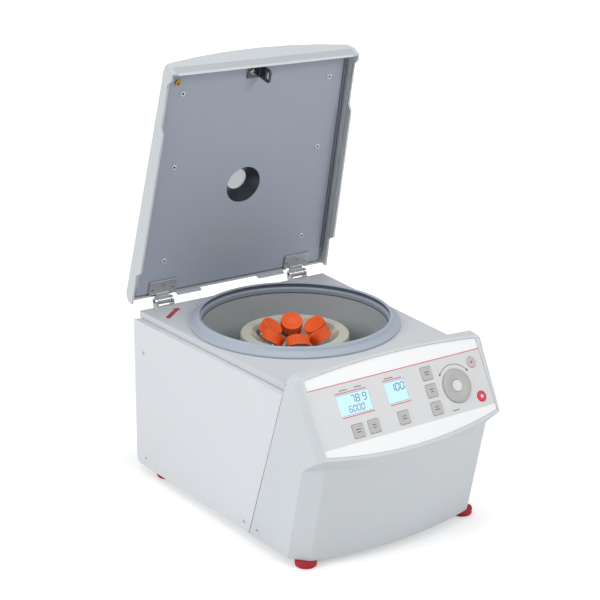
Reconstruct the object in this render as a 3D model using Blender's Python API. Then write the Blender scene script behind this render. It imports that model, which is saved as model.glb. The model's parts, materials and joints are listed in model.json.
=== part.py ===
"""Bench centrifuge with its lid open: casing, drive, six-place angle rotor and control console.

Units are metres and +Z is up. The machine stands on z = 0 and faces -Y. A depth is a distance
forward from the outer face of the rear panel, and BACK_Y is where that face lies, so that the
origin is under the middle of the whole object.
"""

import math

import bmesh
import bpy
from mathutils import Matrix, Vector

# Fits shared by all pieces
GAP = 0.0003
OVERRUN = 0.004

# Casing: its rear width sets the size of the whole machine
BACK_WIDTH = 0.280
TOE_SHARE = 0.05
FOOT_HEIGHT = 0.008
SIDE_HEIGHT = 0.1827
DECK_RISE = 0.008
SHEET = 0.002
RABBET = 0.0082
SHELF_WIDTH = 0.0130
SIDE_CORNER = 0.0080
HALF_BACK = BACK_WIDTH / 2
SHELF_Z = FOOT_HEIGHT + SIDE_HEIGHT
DECK_Z = SHELF_Z + DECK_RISE
DECK_UNDER_Z = DECK_Z - SHEET

# Bowl, with its room in the casing, and the seal round its mouth
BOWL_SIDE_ROOM = 0.0318
BOWL_REAR_ROOM = 0.0109
BOWL_FRONT_ROOM = 0.0333
BOWL_FLOOR_ROOM = 0.0090
BOWL_WALL = 0.0012
BOWL_FLANGE = 0.0100
BOWL_CORNER = 0.0140
BOWL_EYE_RADIUS = 0.0200
SEAL_BASE_SPREAD = 0.0134
SEAL_LIP_SPREAD = 0.0027
SEAL_OVERHANG = 0.0006
SEAL_FOOT = 0.0025
SEAL_TOP_GAP = 0.0004
DECK_EYE_ROOM = 0.0044
BOWL_RADIUS = HALF_BACK - BOWL_SIDE_ROOM
BOWL_REACH = BOWL_RADIUS + BOWL_FLANGE
ROTOR_DEPTH = BOWL_REAR_ROOM + BOWL_REACH
SEAL_BASE_RADIUS = BOWL_RADIUS + SEAL_BASE_SPREAD
SEAL_LIP_RADIUS = BOWL_RADIUS + SEAL_LIP_SPREAD
SEAL_INNER_RADIUS = BOWL_RADIUS - SEAL_OVERHANG
DECK_EYE_RADIUS = BOWL_RADIUS + DECK_EYE_ROOM

# Rotor, which the bowl's radius sizes, and its capped tubes
TUBE_COUNT = 6
TUBE_PHASE = math.radians(3)
TUBE_TILT = math.radians(35)
TUBE_RING_RADIUS = 0.0270
TUBE_TOP_DROP = 0.0087
TUBE_RADIUS = 0.0112
TUBE_WALL = 0.0011
TUBE_CONE = 0.0150
TUBE_TIP_RADIUS = 0.0030
CAP_RADIUS = 0.0125
CAP_HEIGHT = 0.0120
CAP_WALL = 0.0015
SEAT_CLEARANCE = 0.0004
ROTOR_RUNNING_ROOM = 0.0162
ROTOR_END_WALL = 0.0165
ROTOR_FLOOR_WALL = 0.0028
ROTOR_HUB_DROP = 0.0140
ROTOR_HUB_RADIUS = 0.0140
ROTOR_CUP_ROOM = 0.0218
ROTOR_CUP_FLOOR_RADIUS = 0.0200
ROTOR_CUP_DROP = 0.0025
ROTOR_RIM_WALL = 0.0140
ROTOR_RIM_DROP = 0.0045
ROTOR_COLLAR = 0.0200
ROTOR_SHOULDER_SHARE = 0.579
ROTOR_EDGE = 0.0020
TUBE_TOP_Z = DECK_Z - TUBE_TOP_DROP
ROTOR_SKIRT_RADIUS = BOWL_RADIUS - ROTOR_RUNNING_ROOM
TUBE_LENGTH = (ROTOR_SKIRT_RADIUS - ROTOR_END_WALL - TUBE_RING_RADIUS) / math.sin(TUBE_TILT)
TUBE_END_Z = TUBE_TOP_Z - TUBE_LENGTH * math.cos(TUBE_TILT)
ROTOR_CUP_RADIUS = TUBE_RING_RADIUS + ROTOR_CUP_ROOM
ROTOR_RIM_RADIUS = ROTOR_CUP_RADIUS + ROTOR_RIM_WALL
ROTOR_RIM_Z = TUBE_TOP_Z - ROTOR_RIM_DROP
ROTOR_CUP_Z = ROTOR_RIM_Z - ROTOR_CUP_DROP
ROTOR_COLLAR_Z = ROTOR_RIM_Z - ROTOR_COLLAR
ROTOR_SKIRT_FOOT_Z = TUBE_END_Z - ROTOR_FLOOR_WALL
ROTOR_SKIRT_TOP_Z = ROTOR_SKIRT_FOOT_Z + ROTOR_SHOULDER_SHARE * (ROTOR_COLLAR_Z - ROTOR_SKIRT_FOOT_Z)
ROTOR_FOOT_Z = ROTOR_SKIRT_FOOT_Z - ROTOR_HUB_DROP
BOWL_FLOOR_Z = ROTOR_FOOT_Z - BOWL_FLOOR_ROOM

# Drive
SHAFT_RADIUS = 0.0060
SHAFT_COLLAR_RADIUS = 0.0100
SHAFT_COLLAR = 0.0055
SHAFT_STUD = 0.0060
NUT_RADIUS = 0.0105
NUT_TOP = 0.0025
MOTOR_ROOM = 0.0170
MOTOR_RADIUS = 0.0450
MOTOR_BOSS_RADIUS = 0.0160
MOTOR_BOSS = 0.0120
MOUNT_THICKNESS = 0.0040
MOUNT_RADIUS = 0.0520
MOUNT_LEG = 0.0090
MOUNT_LEG_RADIUS = 0.0070
MOUNT_LEG_CIRCLE = 0.0430
MOUNT_LEGS = 3
MOTOR_TOP_Z = BOWL_FLOOR_Z - MOTOR_ROOM

# Depths of the deck and of the line where side panels and fascia meet
DECK_GROOVE = 0.0084
PART_LEAN = 0.0590
DECK_DEPTH = ROTOR_DEPTH + BOWL_REACH + BOWL_FRONT_ROOM
PART_TOP_DEPTH = DECK_DEPTH + DECK_GROOVE
PART_FOOT_DEPTH = PART_TOP_DEPTH - PART_LEAN

# Front fascia down to the panel's lip
FASCIA_WALL = 0.003
PANEL_WALL = 0.0024
LEDGE_REACH = 0.0110
RIDGE_SET_FORWARD = 0.0073
RIDGE_RISE = 0.0165
RIDGE_CROWN = 0.0035
RIDGE_END_DROP = 0.0067
FASCIA_CHAMFER = 0.0065
FASCIA_STATIONS = 13
SIDE_TOP_INSET = (0.0026, 0.0052)
SIDE_LIP_INSET = (0.0068, 0.0036)
RIDGE_BACK_DEPTH = PART_TOP_DEPTH + RIDGE_SET_FORWARD
RIDGE_Z = DECK_Z + RIDGE_RISE
RIDGE_LEAN_SHARE = (RIDGE_BACK_DEPTH - PART_TOP_DEPTH) / (RIDGE_Z - SHELF_Z)

# Control panel
PANEL_TILT = math.radians(30.83)
PANEL_SET_FORWARD = 0.0210
PANEL_TOP_DROP = 0.0041
OVERLAY_SIDE_ROOM = 0.0018
OVERLAY_LENGTH = 0.0810
OVERLAY_TOP_ARC = 0.0062
OVERLAY_FOOT_ARC = 0.0118
OVERLAY_THICKNESS = 0.0008
RIM_LIFT = 0.0008
RIM_TOP = 0.0030
RIM_FOOT = 0.0034
PANEL_SIN = math.sin(PANEL_TILT)
PANEL_COS = math.cos(PANEL_TILT)
PANEL_TOP_DEPTH = PART_TOP_DEPTH + PANEL_SET_FORWARD
PANEL_TOP_Z = RIDGE_Z - PANEL_TOP_DROP


def half_width(depth):
    """Half the casing's width, which narrows towards the front."""
    return HALF_BACK - TOE_SHARE * depth


def panel_point(down, lift):
    """Depth and height of a point that lies down the panel from its top edge, and off its face."""
    depth = PANEL_TOP_DEPTH + down * PANEL_SIN + lift * PANEL_COS
    return depth, PANEL_TOP_Z - down * PANEL_COS + lift * PANEL_SIN


LIP_DEPTH, LIP_Z = panel_point(OVERLAY_LENGTH + RIM_FOOT, RIM_LIFT)
FRONT_DEPTH = panel_point(OVERLAY_LENGTH + RIM_FOOT + OVERLAY_FOOT_ARC, RIM_LIFT)[0]
OVERLAY_HALF_WIDTH = half_width(LIP_DEPTH) - FASCIA_CHAMFER - OVERLAY_SIDE_ROOM

# Front fascia below the lip
LIP_SET_BACK = 0.0121
LIP_RISE = 0.0144
LIP_SIDE_DROP = 0.0064
LOWER_TOP_SAG = 0.0066
LOWER_LEAN = 0.0238
LOWER_SIDE_ROOM = 0.0320
LOWER_BOW = 0.0145
LOWER_SIDE_SET_BACK = 0.0190
LOWER_TOP_DEPTH = LIP_DEPTH - LIP_SET_BACK
LOWER_TOP_Z = LIP_Z - LIP_RISE
LOWER_FOOT_DEPTH = LOWER_TOP_DEPTH - LOWER_LEAN
LOWER_HALF_WIDTH = HALF_BACK - LOWER_SIDE_ROOM
LIP_SIDE_Z = LOWER_TOP_Z - LIP_SIDE_DROP

# Keys, displays and jog wheel. Places are across and down the panel: the wheel, the column of keys
# and the round keys keep their distance from its right edge, and the rest shares what is left.
KEY_SIZE = (0.0142, 0.0142)
KEY_CORNER = 0.0014
KEY_PROUD = 0.0008
KEY_REACH = 0.0072
KEY_TRAVEL = 0.0007
KEY_PITCH = 0.0207
KEY_COLUMN_STEP = 0.0342
ROUND_KEY_RADIUS = 0.0060
ROUND_KEY_SIDE_ROOM = 0.0148
JOG_SIDE_ROOM = 0.0432
JOG_DOWN_SHARE = 0.557
JOG_RADIUS = 0.0188
JOG_CAP_RADIUS = 0.0063
JOG_SPINDLE_RADIUS = 0.0040
JOG_PROUD = 0.0018
JOG_SEAT = 0.0016
DISPLAY_SIZES = {"display_left": (0.0405, 0.0214), "display_right": (0.0256, 0.0222)}
DISPLAY_SHARES = {"display_left": (0.361, 0.425), "display_right": (0.744, 0.421)}
LEFT_KEY_SHARES = (0.3225, 0.779)
INNER_KEY_DOWN_SHARE = 0.775
MIDDLE_KEY_SHARES = (0.740, 0.772)
KEY_COLUMN_SHARES = {"key_upper": 0.298, "key_centre": 0.533, "key_lower": 0.772}
ROUND_KEY_SHARES = {"round_key_grey": 0.301, "round_key_red": 0.778}
DISPLAY_DROP = 0.0003
DISPLAY_REACH = 0.0072
JOG_PLACE = (OVERLAY_HALF_WIDTH - JOG_SIDE_ROOM, JOG_DOWN_SHARE * OVERLAY_LENGTH)
KEY_COLUMN = JOG_PLACE[0] - KEY_COLUMN_STEP
LEFT_PART = OVERLAY_HALF_WIDTH + KEY_COLUMN - KEY_SIZE[0] / 2


def left_place(across_share, down_share):
    """A place in the panel's left part, from its shares of that part's width and of the length."""
    return across_share * LEFT_PART - OVERLAY_HALF_WIDTH, down_share * OVERLAY_LENGTH


LEFT_KEY = left_place(*LEFT_KEY_SHARES)
KEY_PLACES = {
    "key_left_outer": LEFT_KEY,
    "key_left_inner": (LEFT_KEY[0] + KEY_PITCH, INNER_KEY_DOWN_SHARE * OVERLAY_LENGTH),
    "key_middle": left_place(*MIDDLE_KEY_SHARES),
}
for key_name, down_share in KEY_COLUMN_SHARES.items():
    KEY_PLACES[key_name] = (KEY_COLUMN, down_share * OVERLAY_LENGTH)
ROUND_KEY_PLACES = {
    key_name: (OVERLAY_HALF_WIDTH - ROUND_KEY_SIDE_ROOM, down_share * OVERLAY_LENGTH)
    for key_name, down_share in ROUND_KEY_SHARES.items()
}
DISPLAY_PLACES = {name: left_place(*shares) for name, shares in DISPLAY_SHARES.items()}

# Control board behind the panel, with its bosses
BOARD_THICKNESS = 0.0016
BOARD_SIDE_ROOM = 0.0060
BOARD_SPAN_SHARES = (0.099, 0.889)
BOSS_RADIUS = 0.0035
BOSS_SIDE_ROOM = 0.0120
BOSS_LEFT_KEY_ROOM = 0.0183
BOSS_ROUND_KEY_ROOM = 0.0112
BOSS_DOWN_SHARES = (0.173, 0.160, 0.840, 0.852)
BOARD_HALF_WIDTH = OVERLAY_HALF_WIDTH - BOARD_SIDE_ROOM
BOARD_SPAN = [share * OVERLAY_LENGTH for share in BOARD_SPAN_SHARES]
BOSS_ACROSS = (
    BOSS_SIDE_ROOM - OVERLAY_HALF_WIDTH,
    OVERLAY_HALF_WIDTH - BOSS_SIDE_ROOM,
    LEFT_KEY[0] - BOSS_LEFT_KEY_ROOM,
    ROUND_KEY_PLACES["round_key_red"][0] - BOSS_ROUND_KEY_ROOM,
)
BOSS_PLACES = [(across, share * OVERLAY_LENGTH) for across, share in zip(BOSS_ACROSS, BOSS_DOWN_SHARES)]

# Lid
HINGE_BACK = 0.0065
HINGE_RISE = 0.0048
HINGE_SIDE_ROOM = 0.0440
LID_OPEN = math.radians(76)
PLATE_RISE = 0.0110
PLATE_BACK_DEPTH = 0.0018
PLATE_FRONT_ROOM = 0.0022
PLATE_THICKNESS = 0.0015
PLATE_SIDE_SET_BACK = 0.0085
PLATE_CORNER = 0.0030
LID_WALL = 0.0024
LID_REAR_OVERHANG = 0.0027
LID_FRONT_GAP = 0.0012
LID_SHOULDER_RISE = 0.0070
LID_SHOULDER_FALL = 0.0055
LID_CHAMFER = 0.0065
LID_CROWN = 0.0098
FLANGE_CLEARANCE = 0.0025
FLANGE_STEP = 0.0055
FLANGE_REAR_STEP = 0.0085
STEP_RUN = 0.0066
REAR_STEP_DEPTH = 0.0360
MIDDLE_STEP_LENGTH = 0.0580
CORNER_STEP_ROOM = 0.0150
REAR_WALL_DROP = 0.0010
REAR_TAB_SHARES = ((-0.802, -0.469), (0.396, 0.781))
HINGE_NOTCH = 0.0140
HINGE_NOTCH_RISE = 0.0018
LID_ACROSS_SHARES = (-1, -0.68, -0.34, 0, 0.34, 0.68, 1)
LID_ALONG_SHARES = (0.15, 0.32, 0.50, 0.68, 0.85)
PILLAR_RADIUS = 0.0040
PILLAR_FRONT_ROOM = 0.0305
PILLAR_REAR_DEPTH = 0.0438
PILLAR_SIDE_ROOM = 0.0410
PILLAR_REAR_SIDE_ROOM = 0.0425
PILLAR_MIDDLE_SHARE = 0.579
EARTH_SCREW = (0.0032, 0.0018)
EARTH_SCREW_SIDE_ROOM = 0.0330
EARTH_SCREW_FRONT_ROOM = 0.0163
PORT_RADIUS = 0.0230
PORT_WINDOW_RADIUS = 0.0150
PORT_WALL = 0.0016
PORT_FLANGE = 0.0030
WINDOW_THICKNESS = 0.0024
STRIKER_FRONT_ROOM = 0.0128
STRIKER_BREADTH = 0.0150
STRIKER_REACH = 0.0220
STRIKER_THICKNESS = 0.0025
STRIKER_BAR = 0.0022
STRIKER_WINDOW = (0.0090, 0.0057)
STRIKER_BASE = (0.0170, 0.0020)
HINGE_Z = DECK_Z + HINGE_RISE
HINGE_X = HALF_BACK - HINGE_SIDE_ROOM
PLATE_Z = DECK_Z + PLATE_RISE
PLATE_FRONT_DEPTH = PART_TOP_DEPTH - PLATE_FRONT_ROOM
LID_SHOULDER_BACK_Z = PLATE_Z + LID_SHOULDER_RISE
LID_SHOULDER_FRONT_Z = LID_SHOULDER_BACK_Z - LID_SHOULDER_FALL
CORNER_STEP_DEPTH = PART_TOP_DEPTH - CORNER_STEP_ROOM
DEEP_END_DEPTH = CORNER_STEP_DEPTH - MIDDLE_STEP_LENGTH
STRIKER_DEPTH = PLATE_FRONT_DEPTH - STRIKER_FRONT_ROOM
REAR_TABS = [[share * HINGE_X for share in tab] for tab in REAR_TAB_SHARES]
EARTH_SCREW_PLACE = (EARTH_SCREW_SIDE_ROOM - HALF_BACK, PLATE_FRONT_DEPTH - EARTH_SCREW_FRONT_ROOM)
PILLAR_PLACES = (
    (HALF_BACK - PILLAR_SIDE_ROOM, PLATE_FRONT_DEPTH - PILLAR_FRONT_ROOM),
    (HALF_BACK - PILLAR_SIDE_ROOM, PILLAR_MIDDLE_SHARE * PLATE_FRONT_DEPTH),
    (HALF_BACK - PILLAR_REAR_SIDE_ROOM, PILLAR_REAR_DEPTH),
)

# Hinges
LEAF_WIDTH = 0.0364
LEAF_LENGTH = 0.0180
LEAF_THICKNESS = 0.0021
TONGUE_WIDTH = 0.0184
TONGUE_THICKNESS = 0.0038
BARREL_RADIUS = 0.0046
PIN_RADIUS = 0.0020
CHEEK = 0.0028
BRACKET_PLATE = 0.0024
BRACKET_HEIGHT = 0.0220

# Lid lock under the deck
SLOT_WIDTH = 0.0066
SLOT_MARGIN = 0.0020
LOCK_HALF_WIDTH = 0.0240
LOCK_HEIGHT = 0.0280
LOCK_BACK_WALL = 0.0105
LOCK_FRONT_WALL = 0.0015
LOCK_EAR = 0.0060
BOLT_SIZE = (0.0180, 0.0072, 0.0042)
BOLT_PLAY = 0.0004
BOLT_TRAVEL = 0.0095
SLOT_REACH = STRIKER_BREADTH / 2 + SLOT_MARGIN
LOCK_BACK_DEPTH = STRIKER_DEPTH - SLOT_REACH - LOCK_BACK_WALL
LOCK_FRONT_DEPTH = STRIKER_DEPTH + SLOT_REACH + LOCK_FRONT_WALL

# Feet, rear panel fittings and power board
FOOT_RADIUS = 0.0120
FOOT_TOE = 0.0012
FRONT_FOOT_SIDE_ROOM = 0.0320
FRONT_FOOT_ROOM = 0.0090
REAR_FOOT_SIDE_ROOM = 0.0180
REAR_FOOT_DEPTH = 0.0400
VENT_SLOT = (0.0440, 0.0032)
VENT_PITCH = 0.0085
VENT_ROWS = 7
VENT_PLACE = (0.0600, 0.0700)
INLET_SIDE_ROOM = 0.0620
INLET_HEIGHT = 0.0420
INLET_SIZE = (0.0500, 0.0300)
INLET_FLANGE = 0.0022
INLET_BODY = (0.0440, 0.0240, 0.0240)
SOCKET_PLACE = -0.0090
SOCKET_SIZE = (0.0240, 0.0170, 0.0170)
PRONG_SIZE = (0.0020, 0.0050, 0.0120)
PRONG_SPREAD = 0.0070
PRONG_DROP = 0.0035
ROCKER_PLACE = 0.0140
ROCKER_SIZE = (0.0090, 0.0180)
ROCKER_LIFT = 0.0032
ROCKER_CREST_SHARE = 0.5
ROCKER_TILT = math.radians(8)
POWER_BOARD_SIDE_ROOM = 0.0240
POWER_BOARD_MOUNT_ROOM = 0.0080
POWER_BOARD_FRONT_ROOM = 0.0110
POWER_BOARD_LENGTH = 0.0880
STANDOFF = 0.0060
STANDOFF_RADIUS = 0.0030
HEAT_SINK_WIDTH_SHARE = 0.536
HEAT_SINK_LENGTH = 0.0600
HEAT_SINK_HEIGHT = 0.0280
HEAT_SINK_SLOTS = 3
FRONT_FOOT = (HALF_BACK - FRONT_FOOT_SIDE_ROOM, LOWER_FOOT_DEPTH - FRONT_FOOT_ROOM)
REAR_FOOT = (HALF_BACK - REAR_FOOT_SIDE_ROOM, REAR_FOOT_DEPTH)
INLET_PLACE = (INLET_SIDE_ROOM - HALF_BACK, INLET_HEIGHT)
POWER_BOARD_WIDTH = HALF_BACK - POWER_BOARD_SIDE_ROOM - MOUNT_RADIUS - POWER_BOARD_MOUNT_ROOM
POWER_BOARD_PLACE = (
    POWER_BOARD_SIDE_ROOM + POWER_BOARD_WIDTH / 2 - HALF_BACK,
    PART_FOOT_DEPTH - POWER_BOARD_FRONT_ROOM - POWER_BOARD_LENGTH / 2,
)

# Faces round a full turn
FINE_STEPS = 48
ROUND_STEPS = 24
TUBE_STEPS = 18
CORNER_STEPS = 4
SMOOTH = math.radians(35)


def roof_height(depth, across):
    """Height of the closed lid's crowned roof at a depth and a share of its half width."""
    along = depth / PLATE_FRONT_DEPTH
    shoulder = LID_SHOULDER_BACK_Z + along * (LID_SHOULDER_FRONT_Z - LID_SHOULDER_BACK_Z)
    return shoulder + LID_CHAMFER + LID_CROWN * (1 - across**2)


LID_ROOF_TOP_Z = LID_SHOULDER_BACK_Z + LID_CHAMFER + LID_CROWN + OVERRUN
REAR_REACH = (
    HINGE_BACK
    + math.sin(LID_OPEN) * (roof_height(LID_CHAMFER - LID_REAR_OVERHANG, 0) - HINGE_Z)
    - math.cos(LID_OPEN) * (HINGE_BACK - LID_REAR_OVERHANG + LID_CHAMFER)
)
BACK_Y = (FRONT_DEPTH - REAR_REACH) / 2


def y_at(depth):
    return BACK_Y - depth


def part_depth(height):
    """Depth of the slanted line where the side panels meet the fascia."""
    share = (height - FOOT_HEIGHT) / SIDE_HEIGHT
    return PART_FOOT_DEPTH + share * (PART_TOP_DEPTH - PART_FOOT_DEPTH)


def clear_scene():
    for obj in list(bpy.data.objects):
        bpy.data.objects.remove(obj, do_unlink=True)


def finish(name, colour, roughness, metallic=0.0, alpha=1.0):
    """A Principled BSDF material."""
    made = bpy.data.materials.new(name)
    made.use_nodes = True
    shader = made.node_tree.nodes["Principled BSDF"]
    shader.inputs["Base Color"].default_value = (*colour, 1.0)
    shader.inputs["Roughness"].default_value = roughness
    shader.inputs["Metallic"].default_value = metallic
    shader.inputs["Alpha"].default_value = alpha
    made.diffuse_color = (*colour, alpha)
    return made


def make_finishes():
    return {
        "casing": finish("casing_paint", (0.72, 0.75, 0.78), 0.45),
        "console": finish("console_plastic", (0.70, 0.73, 0.77), 0.40),
        "deck": finish("deck_plastic", (0.52, 0.55, 0.57), 0.45),
        "lid_plate": finish("lid_plate_paint", (0.33, 0.38, 0.45), 0.40),
        "overlay": finish("overlay_film", (0.80, 0.83, 0.86), 0.35),
        "display": finish("display_glass", (0.45, 0.72, 0.85), 0.15),
        "key": finish("key_film", (0.42, 0.44, 0.43), 0.50),
        "red": finish("red_key", (0.75, 0.03, 0.10), 0.40),
        "cap_light": finish("jog_cap_light", (0.72, 0.73, 0.76), 0.40),
        "seal": finish("seal_rubber", (0.33, 0.38, 0.47), 0.60),
        "bowl": finish("bowl_steel", (0.50, 0.52, 0.55), 0.35, 0.8),
        "rotor": finish("rotor_ivory", (0.66, 0.66, 0.55), 0.45),
        "tube": finish("tube_clear", (0.80, 0.84, 0.86), 0.15, 0.0, 0.4),
        "cap": finish("cap_orange", (0.87, 0.13, 0.02), 0.45),
        "steel": finish("bright_steel", (0.60, 0.61, 0.62), 0.30, 1.0),
        "brass": finish("earth_brass", (0.75, 0.58, 0.28), 0.35, 1.0),
        "dark": finish("dark_plastic", (0.03, 0.03, 0.035), 0.45),
        "board": finish("board_green", (0.03, 0.20, 0.10), 0.50),
        "motor": finish("motor_casting", (0.35, 0.36, 0.38), 0.45, 0.7),
        "foot": finish("foot_rubber", (0.50, 0.03, 0.05), 0.60),
        "window": finish("port_window", (0.80, 0.86, 0.90), 0.10, 0.0, 0.4),
    }


def empty(name, place, turn=(0, 0, 0), parent=None):
    made = bpy.data.objects.new(name, None)
    made.location = place
    made.rotation_euler = turn
    made.parent = parent
    bpy.context.scene.collection.objects.link(made)
    return made


def solid(name, bm, material, place=(0, 0, 0), turn=(0, 0, 0), parent=None, smooth=0):
    """An object from a bmesh, with its faces turned outwards. The bmesh is used up."""
    bm.normal_update()
    bmesh.ops.recalc_face_normals(bm, faces=bm.faces[:])
    mesh = bpy.data.meshes.new(name)
    bm.to_mesh(mesh)
    bm.free()
    if smooth:
        mesh.shade_smooth()
        mesh.set_sharp_from_angle(angle=smooth)
    if material:
        mesh.materials.append(material)
    made = bpy.data.objects.new(name, mesh)
    made.location = place
    made.rotation_euler = turn
    made.parent = parent
    bpy.context.scene.collection.objects.link(made)
    return made


def helper(name, bm, place=(0, 0, 0), turn=(0, 0, 0), parent=None):
    """A cutter or a shape to join, which is no piece of its own."""
    made = solid(name, bm, None, place, turn, parent)
    made.hide_render = True
    made.display_type = "WIRE"
    return made


def combine(target, other, operation):
    modifier = target.modifiers.new(f"{operation.lower()}_{other.name}", "BOOLEAN")
    modifier.operation = operation
    modifier.solver = "EXACT"
    modifier.object = other


def cut(target, *others):
    for other in others:
        combine(target, other, "DIFFERENCE")


def join(target, *others):
    for other in others:
        combine(target, other, "UNION")


def lofted(rings, capped=True):
    """A skin through rings of equally many points, closed at both ends."""
    bm = bmesh.new()
    rows = [[bm.verts.new(point) for point in ring] for ring in rings]
    count = len(rows[0])
    for first, second in zip(rows, rows[1:]):
        for i in range(count):
            j = (i + 1) % count
            bm.faces.new((first[i], first[j], second[j], second[i]))
    if capped:
        bm.faces.new(rows[0][::-1])
        bm.faces.new(rows[-1])
    return bm


def block(size, centre=(0, 0, 0)):
    """A box of full sizes round a centre."""
    bm = bmesh.new()
    bmesh.ops.create_cube(bm, size=1)
    bmesh.ops.scale(bm, vec=size, verts=bm.verts[:])
    bmesh.ops.translate(bm, vec=centre, verts=bm.verts[:])
    return bm


def span_block(low, high):
    """A box from its lowest to its highest corner."""
    size = [b - a for a, b in zip(low, high)]
    return block(size, [(a + b) / 2 for a, b in zip(low, high)])


def rounded_block(size, centre, corner):
    """A box whose four upright edges are rounded."""
    bm = block(size, centre)
    upright = [edge for edge in bm.edges if abs((edge.verts[0].co - edge.verts[1].co).z) > corner]
    bmesh.ops.bevel(
        bm,
        geom=upright,
        offset=corner,
        segments=CORNER_STEPS,
        profile=0.5,
        affect="EDGES",
        clamp_overlap=True,
    )
    return bm


def turned(profile, steps, looped=True):
    """A solid of revolution about Z from points (radius, height)."""
    bm = bmesh.new()
    points = [bm.verts.new((radius, 0, height)) for radius, height in profile]
    pairs = list(zip(points, points[1:]))
    if looped:
        pairs.append((points[-1], points[0]))
    edges = [bm.edges.new(pair) for pair in pairs if pair[0].co.x or pair[1].co.x]
    bmesh.ops.spin(
        bm,
        geom=points + edges,
        cent=(0, 0, 0),
        axis=(0, 0, 1),
        angle=math.tau,
        steps=steps,
        use_merge=True,
        use_duplicate=False,
    )
    bmesh.ops.remove_doubles(bm, verts=bm.verts[:], dist=GAP / 100)
    return bm


def rod(radius, low, high, steps=ROUND_STEPS):
    return turned([(0, low), (radius, low), (radius, high), (0, high)], steps, looped=False)


def laid(bm):
    """Turns a bmesh made about Z so that it lies about X."""
    bmesh.ops.rotate(bm, verts=bm.verts[:], matrix=Matrix.Rotation(math.pi / 2, 3, "Y"))
    return bm


def moved(bm, offset):
    bmesh.ops.translate(bm, verts=bm.verts[:], vec=offset)
    return bm



def extruded(profile, low, high):
    """A prism along the first axis through points of the other two."""
    return lofted([[(first, a, b) for a, b in profile] for first in (low, high)])


def pierced(profile, low, high):
    """A prism along the third axis through points of the first two."""
    return lofted([[(a, b, third) for a, b in profile] for third in (low, high)])


def toed(bm, side):
    """Maps places given as (in from the casing's side, depth, height) to one side of it."""
    for vert in bm.verts:
        inset, depth, height = vert.co
        vert.co = (side * (half_width(depth) - inset), y_at(depth), height)
    return bm


def faced(bm):
    """Maps places given as (across, depth, height) into the part's frame."""
    for vert in bm.verts:
        vert.co.y = y_at(vert.co.y)
    return bm


def arc(centre, radius, start, end, steps):
    turns = [start + (end - start) * i / steps for i in range(steps + 1)]
    return [(centre[0] + radius * math.cos(t), centre[1] + radius * math.sin(t)) for t in turns]


def crossing(first, second):
    """Where two lines meet, each given as two points."""
    (ax, ay), (bx, by) = first
    (cx, cy), (dx, dy) = second
    bend = (bx - ax) * (dy - cy) - (by - ay) * (dx - cx)
    share = ((cx - ax) * (dy - cy) - (cy - ay) * (dx - cx)) / bend
    return ax + share * (bx - ax), ay + share * (by - ay)


def shifted(line, distance):
    """A line moved to the right of its direction."""
    (ax, ay), (bx, by) = line
    length = math.hypot(bx - ax, by - ay)
    dx = (by - ay) / length * distance
    dy = (ax - bx) / length * distance
    return (ax + dx, ay + dy), (bx + dx, by + dy)


def build_side(name, side, looks):
    corner = SIDE_CORNER
    outline = [(part_depth(FOOT_HEIGHT), FOOT_HEIGHT), (PART_TOP_DEPTH, SHELF_Z), (0, SHELF_Z)]
    outline += arc((corner, FOOT_HEIGHT + corner), corner, math.pi, 1.5 * math.pi, CORNER_STEPS)
    panel = solid(name, toed(extruded(outline, 0, SHEET), side), looks["casing"])
    back = SHEET + GAP
    low = (SHEET / 2, back, SHELF_Z - SHEET)
    shelf = span_block(low, (SHELF_WIDTH, PART_TOP_DEPTH - FASCIA_WALL, SHELF_Z))
    join(panel, helper(f"{name}_shelf", toed(shelf, side)))


def build_casing(looks):
    build_side("side_panel_left", -1, looks)
    build_side("side_panel_right", 1, looks)
    inner = SHEET + GAP
    edge = half_width(SHEET) - inner
    low = (-edge, 0, FOOT_HEIGHT)
    rear = faced(span_block(low, (edge, SHEET, SHELF_Z - SHEET - GAP)))
    rear = solid("rear_panel", rear, looks["casing"])
    for row in range(VENT_ROWS):
        height = VENT_PLACE[1] + row * VENT_PITCH
        size = (VENT_SLOT[0], SHEET + OVERRUN, VENT_SLOT[1])
        place = (VENT_PLACE[0], y_at(SHEET / 2), height)
        cut(rear, helper(f"vent_cut_{row}", block(size, place)))
    size = (INLET_BODY[0] + GAP + GAP, SHEET + OVERRUN, INLET_BODY[1] + GAP + GAP)
    place = (INLET_PLACE[0], y_at(SHEET / 2), INLET_PLACE[1])
    cut(rear, helper("inlet_cut", block(size, place)))
    front = part_depth(FOOT_HEIGHT) - GAP
    outline = []
    for side in (-1, 1):
        ends = [inner, front] if side < 0 else [front, inner]
        outline += [(side * (half_width(end) - inner), y_at(end)) for end in ends]
    base = pierced(outline, FOOT_HEIGHT, FOOT_HEIGHT + SHEET)
    solid("base_plate", base, looks["casing"])


def deck_outline(inset):
    """The deck's outline, as places across and back, moved in from its edge."""
    back = inset
    front = DECK_DEPTH - inset
    across = RABBET + inset
    left = [(-(half_width(end) - across), y_at(end)) for end in (back, front)]
    return left + [(-a, b) for a, b in reversed(left)]


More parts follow.
